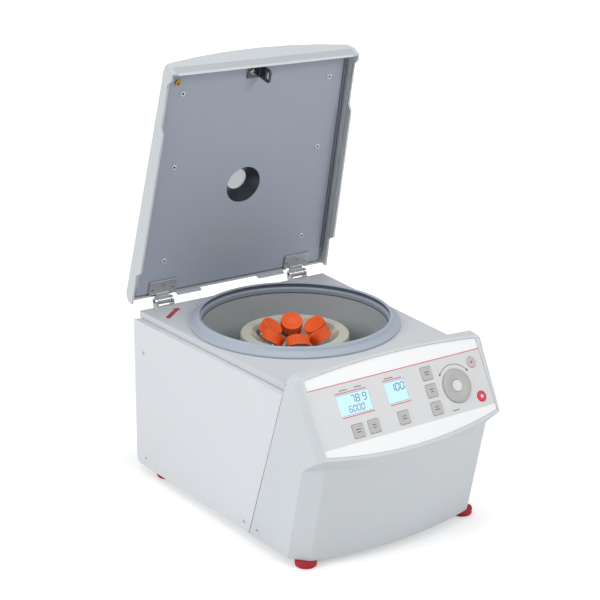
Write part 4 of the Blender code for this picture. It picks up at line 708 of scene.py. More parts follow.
@dataclass
class Casing:
    """Side panels, rear panel, deck, feet and the fittings on the back.

    Attributes:
        shop: The workshop.
        side_screws: Side screws, as distance in front of the rear face and height.
        arrow_place: Middle of the turning mark, as distance from the left edge and from the rear.
        arrow_length: Length of the turning mark.
        arrow_width: Width of its shaft.
        arrow_turn: Its direction, in degrees from the casing's X.
        seam: Foot and top of the seam beside the front, as distance from the rear face and height.
        seam_width: Width of the seam.
        toe_share: How far a side leans in for each metre forwards.
    """

    shop: Workshop
    side_screws: tuple[Place, ...] = ((0.021, 0.154), (0.021, 0.0206), (0.221, 0.0194), (0.245, 0.019))
    seam: tuple[Place, Place] = ((0.2300, 0.0085), (0.2890, 0.1900))
    seam_width: float = 0.0007
    arrow_place: Place = (0.029, 0.028)
    arrow_length: float = 0.038
    arrow_width: float = 0.0056
    arrow_turn: float = 41.0
    toe_share: float = 0.05

    def build(self) -> None:
        """Builds the casing."""
        shop = self.shop
        for node in ("side_panel_left", "side_panel_right", "rear_panel", "base_plate"):
            shop.carried(node, Surface.CASING, 0.0007)
        shop.carried("deck_plate", Surface.DECK, 0.0009)
        for end in ("front", "rear"):
            for hand in ("left", "right"):
                shop.carried(f"foot_{end}_{hand}", Surface.FOOT, 0.0008)
        for node in ("power_inlet", "mains_rocker", "lock_unit"):
            shop.carried(node, Surface.DARK, 0.0004)
        shop.carried("lock_bolt", Surface.STEEL, 0.0004)
        shop.carried("power_board", Surface.BOARD, 0.0002)
        shop.carried("motor_mount", Surface.STEEL, 0.0005)
        shop.carried("drive_motor", Surface.MOTOR, 0.0010)
        self.fit_side_screws()
        self.paint_seam_shadows()
        self.lay_arrow()

    def fit_side_screws(self) -> None:
        """Fits the small screws low on both sides and behind the lid."""
        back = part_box("rear_panel")[1].y
        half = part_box("side_panel_right")[1].x
        places = []
        for side in (-1, 1):
            for depth, height in self.side_screws:
                across = side * (half - self.toe_share * depth)
                place = (across, back - depth, height)
                places.append(upright(place, (side, -self.toe_share, 0)))
        SocketScrew(0.0026, 0.0010, 0.0012).fit(self.shop, "side_screws", "casing", places, Surface.ZINC)

    def paint_seam_shadows(self) -> None:
        """Lays thin dark strips over the hairline seams between the side panels and the front, as painted shadow
        in their gaps.
        """
        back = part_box("rear_panel")[1].y
        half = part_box("side_panel_right")[1].x
        wide = self.seam_width / 2
        (foot, low), (top, high) = self.seam
        parts = []
        for side in (-1, 1):
            corners = [(foot - wide, low), (foot + wide, low), (top + wide, high), (top - wide, high)]
            line = Form.plate([(-side * depth, height) for depth, height in corners], -0.0002, 0.00006)
            place = upright((side * half, back, 0), (side, -self.toe_share, 0))
            parts.append(Form.moved(line, place))
        self.shop.piece("panel_seam_shadows", Form.merge(parts), Surface.SEAM_SHADOW, "casing", Surface.CASING.value)

    def lay_arrow(self) -> None:
        """Lays the red turning mark on the deck's rear left corner."""
        low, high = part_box("deck_plate")
        half = self.arrow_length / 2
        wide = self.arrow_width / 2
        neck = half - self.arrow_width * 1.3
        outline = [(-half, -wide), (neck, -wide), (neck, -wide * 2.1), (half, 0)]
        outline += [(neck, wide * 2.1), (neck, wide), (-half, wide)]
        mark = Form.plate(outline, 0, 0.00015)
        middle = (low.x + self.arrow_place[0], high.y - self.arrow_place[1], high.z)
        place = Matrix.Translation(middle) @ Matrix.Rotation(math.radians(self.arrow_turn), 4, "Z")
        self.shop.piece("turning_mark", mark, Surface.ARROW, "casing", Surface.DECK.value, place=place)


@dataclass
class Console:
    """The front fascia with its film, printed marks, displays, keys and jog wheel.

    Attributes:
        shop: The workshop.
        jog_place: The wheel's place on the panel, across and down from the film's top edge.
        jog_radius: The wheel's radius.
        jog_cap_radius: Radius of the light cap in its middle.
        half_width: Half the length of the red line across the film.
        field_top: How far down the film the grey field starts, where the red line runs.
        field_foot: How far down the film the grey field ends.
        front_heights: Foot and top of the lower front.
        front_depth: How far its foot lies in front of the rear face.
        front_lean: How much further forward its top lies.
        front_bow: How far its middle stands out past its ends.
        front_sag: How much lower its top edge lies in the middle.
        front_half: Half its width.
        front_grid: The cuts that make it follow the bow, as Form.refine takes them.
        labels: Plain bars in place of small words, as left end, right end and distance down.
        wheel_label_turns: Where the wheel's arrow starts and ends, in degrees.
        arrow_room: How far outside the wheel that arrow lies.
        line: Width of the printed lines.
        ink: Thickness of one layer of ink.
        key_proud: How far the keys' tops stand off the film.
        display_depth: How far the displays' faces lie below the film.
        keys: The rectangular keys.
    """

    shop: Workshop
    jog_place: Place = (0.0708, 0.0451)
    jog_radius: float = 0.0188
    jog_cap_radius: float = 0.0063
    half_width: float = 0.1140
    field_top: float = 0.0118
    field_foot: float = 0.0745
    front_heights: Place = (0.0080, 0.1246364)
    front_depth: float = 0.3180413
    front_lean: float = 0.0238
    front_bow: float = 0.0145
    front_sag: float = 0.0066
    front_half: float = 0.1080
    front_grid: tuple[tuple[int, float, float, int], ...] = ((0, -0.1080, 0.1080, 36), (2, 0.0080, 0.1240, 8))
    labels: tuple[tuple[float, float, float], ...] = (
        (-0.0768, -0.0668, 0.0190),
        (-0.0580, -0.0488, 0.0188),
        (-0.0186, -0.0072, 0.0186),
        (0.0560, 0.0650, 0.0700),
    )
    wheel_label_turns: Place = (38.0, 136.0)
    arrow_room: float = 0.0050
    line: float = 0.0008
    ink: float = 0.00012
    key_proud: float = 0.0008
    display_depth: float = 0.0003
    keys: tuple[str, ...] = (
        "key_left_outer",
        "key_left_inner",
        "key_middle",
        "key_upper",
        "key_centre",
        "key_lower",
    )

    def __post_init__(self) -> None:
        """Works out the panel's own frame from the jog wheel's joint."""
        joint = self.shop.joints["jog_turn"]
        normal = Vector(joint["axis"])
        across = Vector((1, 0, 0))
        up = normal.cross(across)
        turn = Matrix((across, up, normal)).transposed().to_4x4()
        back = Matrix.Translation((-self.jog_place[0], self.jog_place[1], 0))
        self.panel = Matrix.Translation(Vector(joint["pos_m"])) @ turn @ back

    def ink_layer(self, name: str, bm: bmesh.types.BMesh, surface: Surface, body: str = "casing") -> None:
        """Lays a printed mark, made in the panel's frame, on the film."""
        self.shop.piece(name, bm, surface, body, "overlay_film", place=self.panel)

    def bar(self, left: float, right: float, down: float, width: float, level: int = 1) -> bmesh.types.BMesh:
        """Makes a printed line across the panel.

        Args:
            left: Its left end.
            right: Its right end.
            down: How far down the panel its middle is.
            width: Its width.
            level: How many layers of ink lie below and at it.

        Returns:
            The line.
        """
        size = (right - left, width, self.ink * level)
        return Form.slab(size, ((left + right) / 2, -down, self.ink * level / 2))

    def build(self) -> None:
        """Builds the console."""
        shop = self.shop
        shop.stand_in("front_fascia", self.bowed_fascia(), Surface.CONSOLE, 0.0012)
        shop.carried("control_overlay", Surface.FILM_WHITE, 0)
        shop.carried("control_board", Surface.BOARD, 0.0002)
        self.print_film()
        self.build_displays()
        for key in self.keys:
            shop.carried(key, Surface.KEY, 0.0005)
        shop.carried("round_key_grey", Surface.KEY_ROUND, 0.0005)
        shop.carried("round_key_red", Surface.KEY_RED, 0.0005)
        self.print_keys()
        self.build_jog()

    def bowed_fascia(self) -> bmesh.types.BMesh:
        """Cuts the lower front finer and lays it on one smooth bow.

        Returns:
            The fascia.
        """
        bm = self.shop.merged("front_fascia", 0.6)
        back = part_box("rear_panel")[1].y
        foot, top = self.front_heights

        def is_front(face: bmesh.types.BMFace) -> bool:
            """Says whether a face is part of the lower front."""
            middle = face.calc_center_median()
            ceiling = top - self.front_sag * (1 - (middle.x / self.front_half) ** 2)
            outside = middle.y < back - self.front_depth + 0.004
            return face.normal.y < -0.9 and middle.z < ceiling and abs(middle.x) < self.front_half and outside

        for vert in Form.refine(bm, is_front, self.front_grid):
            bow = 1 - (vert.co.x / self.front_half) ** 2
            rise = (vert.co.z - foot) / (top - self.front_sag * bow - foot)
            vert.co.y = back - self.front_depth - self.front_lean * rise - self.front_bow * bow
        return bm

    def print_film(self) -> None:
        """Prints the grey field, the red lines and the wheel's arrow on the film."""
        self.ink_layer("film_grey_field", self.printed_field(), Surface.FILM_GREY)
        lines = [self.bar(-self.half_width, self.half_width, self.field_top, self.line, 2)]
        for left, right, top, foot in ((-0.0838, -0.0412, 0.0216, 0.0472), (-0.0216, 0.0062, 0.0208, 0.0474)):
            lines.append(self.bar(left, right - 0.0028, top, self.line, 2))
            lines.append(self.bar(left + 0.0018, right + 0.0006, foot, self.line, 2))
        self.ink_layer("film_red_lines", Form.merge(lines), Surface.PRINT_RED)
        labels = [self.bar(left, right, down, self.line, 2) for left, right, down in self.labels]
        self.ink_layer("film_plain_labels", Form.merge(labels), Surface.PRINT_DARK)
        self.print_wheel_arrow()

    def printed_field(self) -> bmesh.types.BMesh:
        """Raises the film's own face between two lines into a layer of grey ink.

        Returns:
            The layer in the panel's frame, with the film's openings for keys, wheel and displays.
        """
        bm = self.shop.merged("control_overlay")
        bmesh.ops.transform(bm, matrix=self.panel.inverted(), verts=bm.verts[:])
        bm.normal_update()
        under = [face for face in bm.faces if face.normal.z < 0.9]
        bmesh.ops.delete(bm, geom=under, context="FACES")
        for down, side in ((self.field_top, 1), (self.field_foot, -1)):
            everything = bm.verts[:] + bm.edges[:] + bm.faces[:]
            bmesh.ops.bisect_plane(
                bm,
                geom=everything,
                dist=0.000001,
                plane_co=(0, -down, 0),
                plane_no=(0, side, 0),
                clear_outer=True,
            )
        raised = bmesh.ops.extrude_face_region(bm, geom=bm.faces[:])["geom"]
        verts = [item for item in raised if isinstance(item, bmesh.types.BMVert)]
        bmesh.ops.translate(bm, verts=verts, vec=(0, 0, self.ink))
        bm.normal_update()
        bmesh.ops.recalc_face_normals(bm, faces=bm.faces[:])
        return bm

    def print_wheel_arrow(self) -> None:
        """Prints the double arrow that curves over the jog wheel."""
        radius = self.jog_radius + self.arrow_room
        across, down = self.jog_place
        start, end = (math.radians(turn) for turn in self.wheel_label_turns)
        top = self.ink * 2
        half = 0.0003
        bm = bmesh.new()
        corners = [(radius - half, 0), (radius + half, 0), (radius + half, top), (radius - half, top)]
        verts = [bm.verts.new((x * math.cos(start), x * math.sin(start), z)) for x, z in corners]
        face = bm.faces.new(verts)
        bmesh.ops.spin(
            bm, geom=[face], cent=(0, 0, 0), axis=(0, 0, 1), angle=end - start, steps=28, use_merge=False
        )
        heads = []
        for turn, flip in ((start, math.pi), (end, 0)):
            head = Form.plate([(0, 0.0030), (-0.0014, 0), (0.0014, 0)], 0, top)
            place = Matrix.Rotation(turn, 4, "Z") @ Matrix.Translation((radius, 0, 0))
            heads.append(Form.moved(head, place @ Matrix.Rotation(flip, 4, "Z")))
        arrow = Form.merge([bm, *heads])
        Form.moved(arrow, Matrix.Translation((across, -down, 0)))
        self.ink_layer("wheel_arrow", arrow, Surface.PRINT_DARK)

    def build_displays(self) -> None:
        """Builds both displays with their plain numbers."""
        for node in ("display_left", "display_right"):
            self.shop.carried(node, Surface.DISPLAY, 0)
        face = -self.display_depth
        left = [
            SevenSegment("78", 0.0072).plates((-0.0598, 0.0300), face),
            SevenSegment("9", 0.0072).plates((-0.0478, 0.0300), face),
            SevenSegment("6000", 0.0062).plates((-0.0610, 0.0398), face),
        ]
        self.ink_layer("display_left_numbers", Form.merge(left), Surface.SEGMENT)
        right = SevenSegment("100", 0.0076).plates((-0.0046, 0.0296), face)
        self.ink_layer("display_right_numbers", right, Surface.SEGMENT)

    def print_keys(self) -> None:
        """Prints a plain sign on each key: triangles, a square and bars."""
        signs: dict[str, list[Place]] = {
            "round_key_grey": [(-0.0014, -0.0018), (0.0018, 0), (-0.0014, 0.0018)],
            "round_key_red": [(-0.0015, -0.0015), (0.0015, -0.0015), (0.0015, 0.0015), (-0.0015, 0.0015)],
        }
        for node, outline in signs.items():
            mark = Form.plate(outline, 0, self.ink)
            surface = Surface.FILM_WHITE if node == "round_key_red" else Surface.PRINT_RED
            self.key_mark(node, mark, surface)
        for count, node in enumerate(self.keys):
            bars = []
            for row in range(2):
                width = 0.0062 - 0.0012 * ((count + row) % 3)
                bars.append(Form.slab((width, self.line, self.ink), (0, 0.0014 - row * 0.0028, self.ink / 2)))
            self.key_mark(node, Form.merge(bars), Surface.PRINT_DARK)

    def key_mark(self, node: str, mark: bmesh.types.BMesh, surface: Surface) -> None:
        """Puts a mark on the top of a key.

        Args:
            node: The key's CAD node.
            mark: The mark, round its own middle.
            surface: Its finish.
        """
        low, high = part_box(node)
        middle = self.panel.inverted() @ ((low + high) / 2)
        place = self.panel @ Matrix.Translation((middle.x, middle.y, self.key_proud))
        self.shop.piece(f"{node}_sign", mark, surface, node, self.shop.slots[node], place=place)

    def build_jog(self) -> None:
        """Builds the jog wheel as a shallow dish with a finer edge, and its light cap."""
        centre = self.panel @ Matrix.Translation((self.jog_place[0], -self.jog_place[1], 0))
        radius = self.jog_radius
        seat = self.jog_cap_radius + 0.0003
        profile = [
            (0, -0.0072),
            (0.0040, -0.0072),
            (0.0040, -0.0005),
            (radius, -0.0005),
            (radius, 0.0009),
            (radius - 0.0004, 0.0014),
            (radius - 0.0014, 0.0018),
            (seat + 0.0060, 0.0012),
            (seat + 0.0010, 0.0014),
            (seat, 0.0012),
            (seat, 0.0002),
            (0, 0.0002),
        ]
        wheel = Form.lathe(profile, 96)
        self.shop.piece("jog_wheel_dished", wheel, Surface.JOG, "jog", "key_film", ("jog_wheel",), place=centre)
        edge = self.jog_cap_radius
        profile = [(0, 0.0005), (edge, 0.0005), (edge, 0.0014), (edge - 0.0006, 0.0018), (0, 0.0016)]
        cap = Form.lathe(profile, 64)
        self.shop.piece("jog_cap_dished", cap, Surface.JOG_CAP, "jog", "jog_cap_light", ("jog_cap",), place=centre)


@dataclass
class SevenSegment:
    """Plain numbers in seven bars, as a liquid crystal shows them.

    Attributes:
        text: The digits.
        height: Height of a digit.
        lean: How far a digit leans over for each unit of its height.
        bars: The bars that each digit lights, named as on such a display.
    """

    text: str
    height: float
    lean: float = 0.08
    bars: dict[str, str] = field(
        default_factory=lambda: {
            "0": "abcdef",
            "1": "bc",
            "2": "abged",
            "3": "abgcd",
            "4": "fgbc",
            "5": "afgcd",
            "6": "afgedc",
            "7": "abc",
            "8": "abcdefg",
            "9": "abcdfg",
        }
    )

    def plates(self, middle: Place, level: float) -> bmesh.types.BMesh:
        """Makes the bars of all digits.

        Args:
            middle: The number's middle on the panel, across and down.
            level: Height of the display's face off the film.

        Returns:
            The bars as thin plates.
        """
        tall = self.height
        wide = tall * 0.56
        thick = tall * 0.13
        half = tall / 2
        gap = thick * 0.35
        length_h = wide - gap * 2
        length_v = half - gap * 2
        places = {
            "a": (0, half, length_h, thick),
            "g": (0, 0, length_h, thick),
            "d": (0, -half, length_h, thick),
            "b": (wide / 2, half / 2, thick, length_v),
            "c": (wide / 2, -half / 2, thick, length_v),
            "f": (-wide / 2, half / 2, thick, length_v),
            "e": (-wide / 2, -half / 2, thick, length_v),
        }
        pitch = wide * 1.5
        parts = []
        for index, digit in enumerate(self.text):
            shift = (index - (len(self.text) - 1) / 2) * pitch
            for bar in self.bars[digit]:
                across, up, width, height = places[bar]
                centre = (middle[0] + shift + across + up * self.lean, -middle[1] + up, level + 0.00005)
                parts.append(Form.slab((width, height, 0.0001), centre))
        return Form.merge(parts)


@dataclass
class Chamber:
    """The bowl and the soft seal round its mouth, with painted shade in the seal's groove, at its foot and on its
    inner ring.

    Attributes:
        shop: The workshop.
        base_radius: The seal's outer radius on the deck.
        lip_radius: Radius of its lip's crest.
        inner_radius: Radius of its inner wall.
        steps: Faces round each ring.
    """

    shop: Workshop
    base_radius: float = 0.1216
    lip_radius: float = 0.1109
    inner_radius: float = 0.1076
    steps: int = 120

    def build(self) -> None:
        """Builds the chamber."""
        self.shop.carried("bowl", Surface.BOWL, 0)
        low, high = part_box("chamber_seal")
        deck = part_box("deck_plate")[1].z
        base = deck + 0.0003
        top = high.z
        rise = top - base
        profile = [
            (self.inner_radius, low.z),
            (0.1120, low.z),
            (0.1123, base),
            (self.base_radius - 0.0006, base),
            (self.base_radius, base + 0.0006),
            (self.base_radius, base + 0.0020),
            (self.base_radius - 0.0012, base + 0.0030),
            (self.base_radius - 0.0034, base + rise * 0.42),
            (self.lip_radius + 0.0040, base + rise * 0.54),
            (self.lip_radius + 0.0030, base + rise * 0.66),
            (self.lip_radius + 0.0028, base + rise * 0.84),
            (self.lip_radius + 0.0018, top - 0.0003),
            (self.lip_radius + 0.0004, top),
            (self.lip_radius - 0.0010, top - 0.0002),
            (self.lip_radius - 0.0017, top - 0.0009),
            (self.lip_radius - 0.0013, top - 0.0016),
            (self.lip_radius + 0.0006, top - 0.0022),
            (self.lip_radius + 0.0006, top - 0.0060),
            (self.lip_radius - 0.0012, top - 0.0067),
            (self.inner_radius + 0.0010, top - 0.0069),
            (self.inner_radius + 0.0002, top - 0.0075),
            (self.inner_radius, top - 0.0084),
        ]
        seal = Form.lathe(profile, self.steps)
        centre = self.shop.joint_place("rotor_spin")
        place = Matrix.Translation((centre.x, centre.y, 0))
        name, slot, node = "chamber_seal_lipped", "seal_rubber", "chamber_seal"
        self.shop.piece(name, seal, Surface.SEAL, "casing", slot, (node,), sharp=50, place=place)
        # Painted shade: dark strips in the groove under the lip and where the seal meets the bowl.
        groove = self.lip_radius + 0.0006
        band = [
            (groove - 0.0003, top - 0.0059),
            (groove + 0.0001, top - 0.0059),
            (groove + 0.0001, top - 0.0024),
            (groove - 0.0003, top - 0.0023),
        ]
        foot = [
            (self.inner_radius - 0.0003, low.z + 0.0002),
            (self.inner_radius + 0.0001, low.z + 0.0002),
            (self.inner_radius + 0.0001, low.z + 0.0012),
            (self.inner_radius - 0.0003, low.z + 0.0011),
        ]
        seal_shade_strips = Form.merge([Form.lathe(band, self.steps), Form.lathe(foot, self.steps)])
        self.shop.piece("chamber_seal_painted_shade", seal_shade_strips, Surface.SEAL_SHADE, "casing", slot, place=place)
        # Painted shade: a mid-dark lining over the inner ring's face.
        ring = [
            (self.inner_radius + 0.0001, low.z + 0.0013),
            (self.inner_radius + 0.0001, top - 0.0072),
            (self.inner_radius - 0.0002, top - 0.0074),
            (self.inner_radius - 0.0002, low.z + 0.0013),
        ]
        lining = Form.lathe(ring, self.steps)
        self.shop.piece("chamber_seal_ring_shade", lining, Surface.SEAL_HALF_SHADE, "casing", slot, place=place)


@dataclass
class RotorSet:
    """The angle rotor, its nut and shaft, the tubes and their ribbed caps.

    Attributes:
        shop: The workshop.
        count: Number of tubes.
        phase: Turn of the first tube, in degrees.
        tilt: Lean of the tubes, in degrees.
        ring: Radius of the circle that the caps' middles lie on.
        top: Height of the caps' middles.
        tube_radius: Outer radius of a tube.
        cap_radius: Radius of a cap over its ribs.
        cap_height: Height of a cap.
        ribs: Number of grip ribs on a cap.
        rib_depth: How deep the grooves between them are.
    """

    shop: Workshop
    count: int = 6
    phase: float = 3.0
    tilt: float = 35.0
    ring: float = 0.0270
    top: float = 0.1900
    tube_radius: float = 0.0112
    cap_radius: float = 0.0129
    cap_height: float = 0.0120
    ribs: int = 28
    rib_depth: float = 0.0010

    def build(self) -> None:
        """Builds the rotor and what stands in it."""
        shop = self.shop
        shop.carried("rotor", Surface.ROTOR, 0.0006)
        shop.carried("rotor_nut", Surface.STEEL, 0.0005)
        shop.carried("drive_shaft", Surface.STEEL, 0.0003)
        for number in range(1, self.count + 1):
            place = self.tube_place(number)
            cap = f"cap_{number}"
            scale = f"graduation_{number}"
            shop.carried(f"tube_{number}", Surface.TUBE, 0)
            shop.piece(f"{cap}_ribbed", self.ribbed_cap(), Surface.CAP, "rotor", "cap_orange", (cap,), place=place)
            shop.piece(scale, self.graduation(), Surface.SAMPLE, "rotor", "tube_clear", place=place)

    def tube_place(self, number: int) -> Matrix:
        """Returns where tube number's own frame lies, with its cap's top at the origin."""
        centre = self.shop.joint_place("rotor_spin")
        turn = math.radians(self.phase) + math.tau * (number - 1) / self.count
        place = (centre.x + self.ring * math.cos(turn), centre.y + self.ring * math.sin(turn), self.top)
        spin = Matrix.Rotation(turn, 4, "Z")
        lean = Matrix.Rotation(-math.radians(self.tilt), 4, "Y")
        return Matrix.Translation(place) @ spin @ lean

    def ribbed_cap(self) -> bmesh.types.BMesh:
        """Makes a screw cap with fine grip ribs and a shallow dish on top.

        Returns:
            The cap, hanging below z = 0.
        """
        radius = self.cap_radius
        low = -self.cap_height
        profile = [
            (0, -0.0004),
            (radius - 0.0034, -0.0004),
            (radius - 0.0028, 0),
            (radius - 0.0012, 0),
            (radius - 0.0004, -0.0005),
            (radius, -0.0014),
            (radius, low + 0.0022),
            (radius - 0.0003, low + 0.0018),
            (radius - 0.0003, low),
            (radius - 0.0019, low),
            (radius - 0.0019, -0.0015),
            (0, -0.0015),
        ]
        steps = self.ribs * 2
        bm = Form.lathe(profile, steps)
        for vert in bm.verts:
            reach = math.hypot(vert.co.x, vert.co.y)
            ribbed = reach > radius - 0.0002 and low + 0.0020 < vert.co.z < -0.0010
            index = round(math.atan2(vert.co.y, vert.co.x) / math.tau * steps)
            if ribbed and index % 2:
                vert.co.x *= 1 - self.rib_depth / radius
                vert.co.y *= 1 - self.rib_depth / radius
        return bm

    def graduation(self) -> bmesh.types.BMesh:
        """Makes the printed scale that rings a tube just under its cap.

        Returns:
            Short bars on the tube's outside.
        """
        parts = []
        for step in range(3):
            down = -self.cap_height - 0.0016 - step * 0.0016
            for turn in (150, 158, 166, 174, 182, 190):
                bar = Form.slab((0.00012, 0.0010, 0.0006), (self.tube_radius + 0.00005, 0, down))
                parts.append(Form.moved(bar, Matrix.Rotation(math.radians(turn), 4, "Z")))
        return Form.merge(parts)


@dataclass
class Lid:
    """The open lid: shell, lining plate, viewing port, striker, hinge leaves and screws, with a painted highlight
    along its front wall's foot and painted shade above it and in its side channels.

    Attributes:
        shop: The workshop.
        face: Height of the lining plate's face over the hinge axis, with the lid shut.
        plate_screws: Its screws, as distance from the middle and from the hinge axis.
        leaf_screws: Screws of a hinge leaf, as distance from its middle and from the hinge axis.
        hinge_x: How far each hinge lies from the middle.
        leaf_low: How far a leaf's face lies below the plate's.
        half_back: Half the shell's width at the rear.
        toe_share: How far a side leans in for each metre forwards.
        hinge_back: How far the hinge axis lies in front of the shell's rear.
        shade_span: How far up the front wall the grey band of painted shade starts, and its height.
        hinge_height: Height of the hinge axis.
        plate_depth: Length of the shell, over which its shoulders fall.
        shoulders: Height of the shoulders at the rear and at the front.
        chamfer: Size of the chamfer between the shoulders and the roof.
        crown: How far the roof's middle rises over its edges.
        roof_grid: The cuts that make the roof follow its crown, as Form.refine takes them.
        gutter_ends: Where the strips of painted shade in the side channels start and end, from the shell's rear.
        gutter_shade_strips: For each strip of painted shade its name, its finish, its inner and outer distance
            from the
        shell's side, and its lower and upper height over the plate's face.
    """

    shop: Workshop
    face: float = 0.0062
    plate_screws: tuple[Place, ...] = ((0.0990, 0.2628), (0.0990, 0.1726), (0.0975, 0.0503))
    leaf_screws: tuple[Place, ...] = ((0.0, 0.0188), (0.0127, 0.0138), (-0.0146, 0.0143))
    hinge_x: float = 0.0960
    leaf_low: float = 0.0024
    half_back: float = 0.1400
    toe_share: float = 0.05
    hinge_back: float = 0.0065
    shade_span: Place = (0.0012, 0.0085)
    hinge_height: float = 0.2035
    plate_depth: float = 0.2868
    shoulders: Place = (0.2167, 0.2112)
    chamfer: float = 0.0065
    crown: float = 0.0098
    roof_grid: tuple[tuple[int, float, float, int], ...] = ((0, -0.1400, 0.1400, 28), (1, -0.3080, -0.0020, 26))
    gutter_ends: Place = (0.0200, 0.2800)
    gutter_shade_strips: tuple[tuple[str, Surface, tuple[float, float, float, float]], ...] = (
        ("floor", Surface.GUTTER_SHADE, (0.0081, 0.0028, 0.0004, 0.0014)),
        ("wall", Surface.LID_SHADE, (0.0038, 0.0028, -0.0092, 0.0004)),
        ("rail", Surface.GUTTER_SHADE, (0.0078, 0.0066, -0.0022, 0.0004)),
    )

    def __post_init__(self) -> None:
        """Works out the lid's own frame from its hinge."""
        joint = self.shop.joints["lid_hinge"]
        turn = Matrix.Rotation(-math.radians(joint["range_deg"][1]), 4, "X")
        self.frame = Matrix.Translation(Vector(joint["pos_m"])) @ turn

    def facing(self, across: float, along: float, lift: float = 0.0) -> Matrix:
        """Returns the place of a fitting on the plate's face, with Z off the face."""
        down = Matrix.Rotation(math.pi, 4, "X")
        return self.frame @ Matrix.Translation((across, -along, self.face - lift)) @ down

    def build(self) -> None:
        """Builds the lid."""
        shop = self.shop
        shop.stand_in("lid_shell", self.crowned_shell(), Surface.LID_SHELL, 0.0008, self.frame)
        shop.carried("lid_plate", Surface.LID_PLATE, 0.0003)
        shop.carried("port_cup", Surface.CUP, 0)
        shop.carried("viewing_window", Surface.WINDOW, 0.0003)
        shop.carried("lock_striker", Surface.STRIKER, 0.0004)
        shop.carried("earth_screw", Surface.BRASS, 0.0003)
        for hand in ("left", "right"):
            shop.carried(f"lid_leaf_{hand}", Surface.HINGE_LEAF, 0.0005)
            shop.carried(f"hinge_bracket_{hand}", Surface.CHROME, 0.0005)
            shop.carried(f"hinge_pin_{hand}", Surface.STRIKER, 0.0003)
        places = [self.facing(side * x, s) for side in (-1, 1) for x, s in self.plate_screws]
        SocketScrew(0.0033, 0.0016, 0.0015).fit(shop, "plate_screws", "lid", places, Surface.ZINC)
        self.shade_gutters()
        places = [
            self.facing(side * self.hinge_x + x, s, self.leaf_low)
            for side in (-1, 1)
            for x, s in self.leaf_screws
        ]
        Screw(0.0021, 0.0009, 0.0006).fit(shop, "leaf_screws", "lid", places, Surface.CHROME)
        striker = self.facing(-0.0110, 0.2805, 0.0023)
        Screw(0.0032, 0.0014, 0.0008).fit(shop, "striker_screw", "lid", [striker], Surface.CHROME)
        low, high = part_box("earth_screw")
        middle = self.frame.inverted() @ ((low + high) / 2)
        screw = self.facing(middle.x, -middle.y, 0.0018)
        Screw(0.0026, 0.0010, 0.0009).fit(shop, "earth_screw_cross", "lid", [screw], Surface.BRASS)
        self.paint_front_edge_light()

    def roof(self, depth: float, share: float) -> float:
        """Returns the height of the crowned roof over the hinge axis."""
        back, front = self.shoulders
        shoulder = back + (front - back) * depth / self.plate_depth
        return shoulder + self.chamfer + self.crown * (1 - share**2) - self.hinge_height

    def crowned_shell(self) -> bmesh.types.BMesh:
        """Cuts the shell's roof finer and lays it on one smooth crown.

        Returns:
            The shell in the shut lid's frame.
        """
        bm = self.shop.merged("lid_shell", 0.6)
        bmesh.ops.transform(bm, matrix=self.frame.inverted(), verts=bm.verts[:])
        for vert in Form.refine(bm, lambda face: face.normal.z > 0.9, self.roof_grid):
            depth = -vert.co.y - self.hinge_back
            share = vert.co.x / (self.half_back - self.toe_share * depth - self.chamfer)
            vert.co.z = self.roof(depth, share)
        return bm

    def paint_front_edge_light(self) -> None:
        """Lays a white strip along the foot of the lid's front wall as painted highlight, and a grey band of
        painted shade above it.
        """
        shell = self.shop.merged("lid_shell")
        bmesh.ops.transform(shell, matrix=self.frame.inverted(), verts=shell.verts[:])
        height = min(vert.co.z for vert in shell.verts)
        front = -min(vert.co.y for vert in shell.verts if vert.co.z < height + 0.0002)
        nose = min(shell.verts, key=lambda vert: vert.co.y).co
        slope = (nose.y + front) / (nose.z - height)
        shell.free()
        reach = self.half_back - self.toe_share * front - 0.0085
        slot = Surface.CONSOLE.value
        near, far = 0.0003 - front, 0.0026 - front
        outline = [(-reach, near), (reach, near), (reach, far), (-reach, far)]
        # Painted highlight: a white strip on the foot of the front wall.
        highlight_strip = Form.plate(outline, height - 0.0005, height + 0.0004)
        self.shop.piece("lid_front_highlight", highlight_strip, Surface.LID_HIGHLIGHT, "lid", slot, bevel=0.0002, place=self.frame)
        # Painted shade: a grey band up the front wall's outer face.
        low, tall = self.shade_span
        band = Form.slab((reach * 2 + 0.0060, 0.0005, tall), (0, 0, low + tall / 2))
        lean = Matrix(((1, 0, 0, 0), (0, 1, slope, 0), (0, 0, 1, 0), (0, 0, 0, 1)))
        band = Form.moved(band, Matrix.Translation((0, -front, height)) @ lean)
        self.shop.piece("lid_front_shade_band", band, Surface.LID_SHADE, "lid", slot, place=self.frame)

    def shade_gutters(self) -> None:
        """Lays grey strips in the channels along both sides of the plate, as painted shade on their floors, inner
        walls and rails.
        """
        for part, surface, (inner, outer, low, high) in self.gutter_shade_strips:
            strips = []
            for side in (-1, 1):
                outline = []
                for along, edge in ((0, inner), (0, outer), (1, outer), (1, inner)):
                    depth = self.gutter_ends[along]
                    across = self.half_back - self.toe_share * depth - edge
                    outline.append((side * across, -(depth + self.hinge_back)))
                strips.append(Form.plate(outline, self.face + low, self.face + high))
            bm = Form.merge(strips)
            self.shop.piece(f"lid_gutter_{part}", bm, surface, "lid", Surface.CONSOLE.value, place=self.frame)


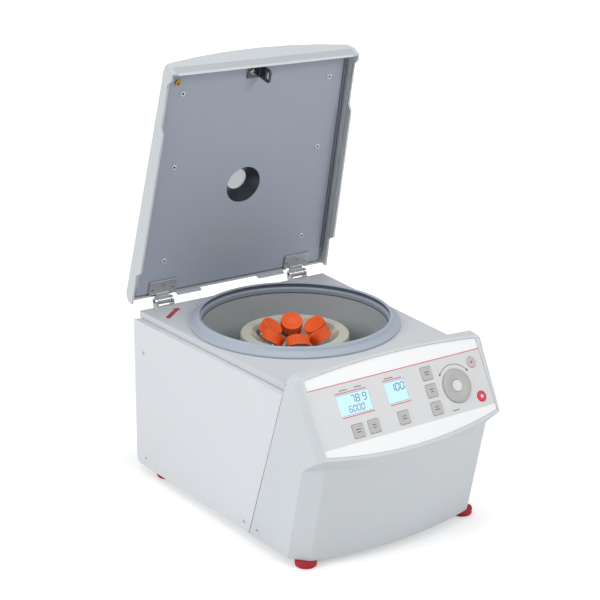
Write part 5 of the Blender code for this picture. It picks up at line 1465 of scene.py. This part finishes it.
@dataclass
class Studio:
    """Floor, soft lamps, world and the camera.

    Attributes:
        azimuth: The camera's direction round the object, in degrees from its front.
        elevation: How far it looks down, in degrees.
        roll: Its small lean, in degrees.
        place: Where it stands.
        lens: Its focal length in millimetres, on a 36 mm sensor.
        world_light: How strongly the white surroundings light the object.
    """

    azimuth: float = -35.0
    elevation: float = 18.94
    roll: float = 0.62
    place: tuple[float, float, float] = (-0.9199, -1.2888, 0.7775)
    lens: float = 89.36
    world_light: float = 0.40

    def build(self) -> None:
        """Builds the studio."""
        scene = bpy.context.scene
        scene.view_settings.view_transform = "Standard"
        self.set_camera(scene)
        self.lay_floor()
        self.light(scene)

    def set_camera(self, scene: bpy.types.Scene) -> None:
        """Puts the camera at the photograph's place.

        Args:
            scene: The scene that it renders.
        """
        turn = math.radians(self.azimuth)
        pitch = math.radians(self.elevation)
        back = Vector((math.sin(turn) * math.cos(pitch), -math.cos(turn) * math.cos(pitch), math.sin(pitch)))
        right = Vector((math.cos(turn), math.sin(turn), 0))
        up = back.cross(right)
        cos, sin = math.cos(math.radians(self.roll)), math.sin(math.radians(self.roll))
        leaned = (right * cos + up * sin, up * cos - right * sin, back)
        data = bpy.data.cameras.new("camera")
        data.lens = self.lens
        data.sensor_width = 36
        camera = bpy.data.objects.new("camera", data)
        camera.matrix_world = Matrix.Translation(self.place) @ Matrix(leaned).transposed().to_4x4()
        scene.collection.objects.link(camera)
        scene.camera = camera

    def lay_floor(self) -> None:
        """Lays the pale floor, which keeps a soft shadow."""
        bm = bmesh.new()
        bmesh.ops.create_grid(bm, x_segments=1, y_segments=1, size=6)
        mesh = bpy.data.meshes.new("studio_floor")
        bm.to_mesh(mesh)
        bm.free()
        floor = bpy.data.objects.new("studio_floor", mesh)
        bpy.context.scene.collection.objects.link(floor)
        made = bpy.data.materials.new("studio_floor")
        made.use_nodes = True
        shader = made.node_tree.nodes["Principled BSDF"]
        shader.inputs["Base Color"].default_value = (0.92, 0.92, 0.92, 1)
        shader.inputs["Roughness"].default_value = 0.9
        shader.inputs["Emission Color"].default_value = (1, 1, 1, 1)
        nodes = Nodes(made.node_tree)
        path = nodes.add("ShaderNodeLightPath")
        spot = nodes.add("ShaderNodeTexCoord")
        reach = nodes.add("ShaderNodeVectorMath", operation="LENGTH")
        nodes.join(spot.outputs["Object"], reach.inputs[0])
        # Painted shade: the floor's glow for the camera grows from 0.34 near the middle to 1 far out, so the floor
        # is darker round the object, beside its real shadow.
        fade = nodes.add("ShaderNodeMapRange", From_Min=0.35, From_Max=2.2, To_Min=0.34, To_Max=1.0)
        nodes.join(reach.outputs["Value"], fade.inputs["Value"])
        share = nodes.add("ShaderNodeMath", operation="MULTIPLY")
        nodes.join(fade.outputs["Result"], share.inputs[1])
        nodes.join(path.outputs["Is Camera Ray"], share.inputs[0])
        nodes.join(share.outputs[0], shader.inputs["Emission Strength"])
        mesh.materials.append(made)

    def light(self, scene: bpy.types.Scene) -> None:
        """Sets three soft lamps and a plain world.

        Args:
            scene: The scene that they light.
        """
        lamps = {
            "key_lamp": ((-2.5, 0.1, 1.4), 1.2, 28.0),
            "front_lamp": ((1.3, -2.2, 1.7), 1.2, 23.0),
            "top_lamp": ((0.1, 0.1, 2.6), 1.3, 15.0),
        }
        aim = Vector((0, 0, 0.18))
        for name, (place, size, power) in lamps.items():
            data = bpy.data.lights.new(name, "AREA")
            data.shape = "DISK"
            data.size = size
            data.energy = power
            lamp = bpy.data.objects.new(name, data)
            lamp.matrix_world = upright(place, Vector(place) - aim)
            scene.collection.objects.link(lamp)
        world = bpy.data.worlds.new("studio")
        world.use_nodes = True
        scene.world = world
        nodes = Nodes(world.node_tree)
        shade = world.node_tree.nodes["Background"]
        shade.inputs["Color"].default_value = (1, 1, 1, 1)
        path = nodes.add("ShaderNodeLightPath")
        seen = nodes.add("ShaderNodeMath", operation="MAXIMUM")
        nodes.join(path.outputs["Is Camera Ray"], seen.inputs[0])
        nodes.join(path.outputs["Is Transmission Ray"], seen.inputs[1])
        level = nodes.add("ShaderNodeMapRange", To_Min=self.world_light, To_Max=1.0)
        nodes.join(seen.outputs[0], level.inputs["Value"])
        nodes.join(level.outputs["Result"], shade.inputs["Strength"])


def main() -> None:
    """Builds the scene."""
    logging.basicConfig(level=logging.INFO, format="%(name)s: %(message)s")
    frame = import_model()
    shop = Workshop(frame)
    Studio().build()
    Casing(shop).build()
    Console(shop).build()
    Chamber(shop).build()
    RotorSet(shop).build()
    Lid(shop).build()


if __name__ == "__main__":
    main()
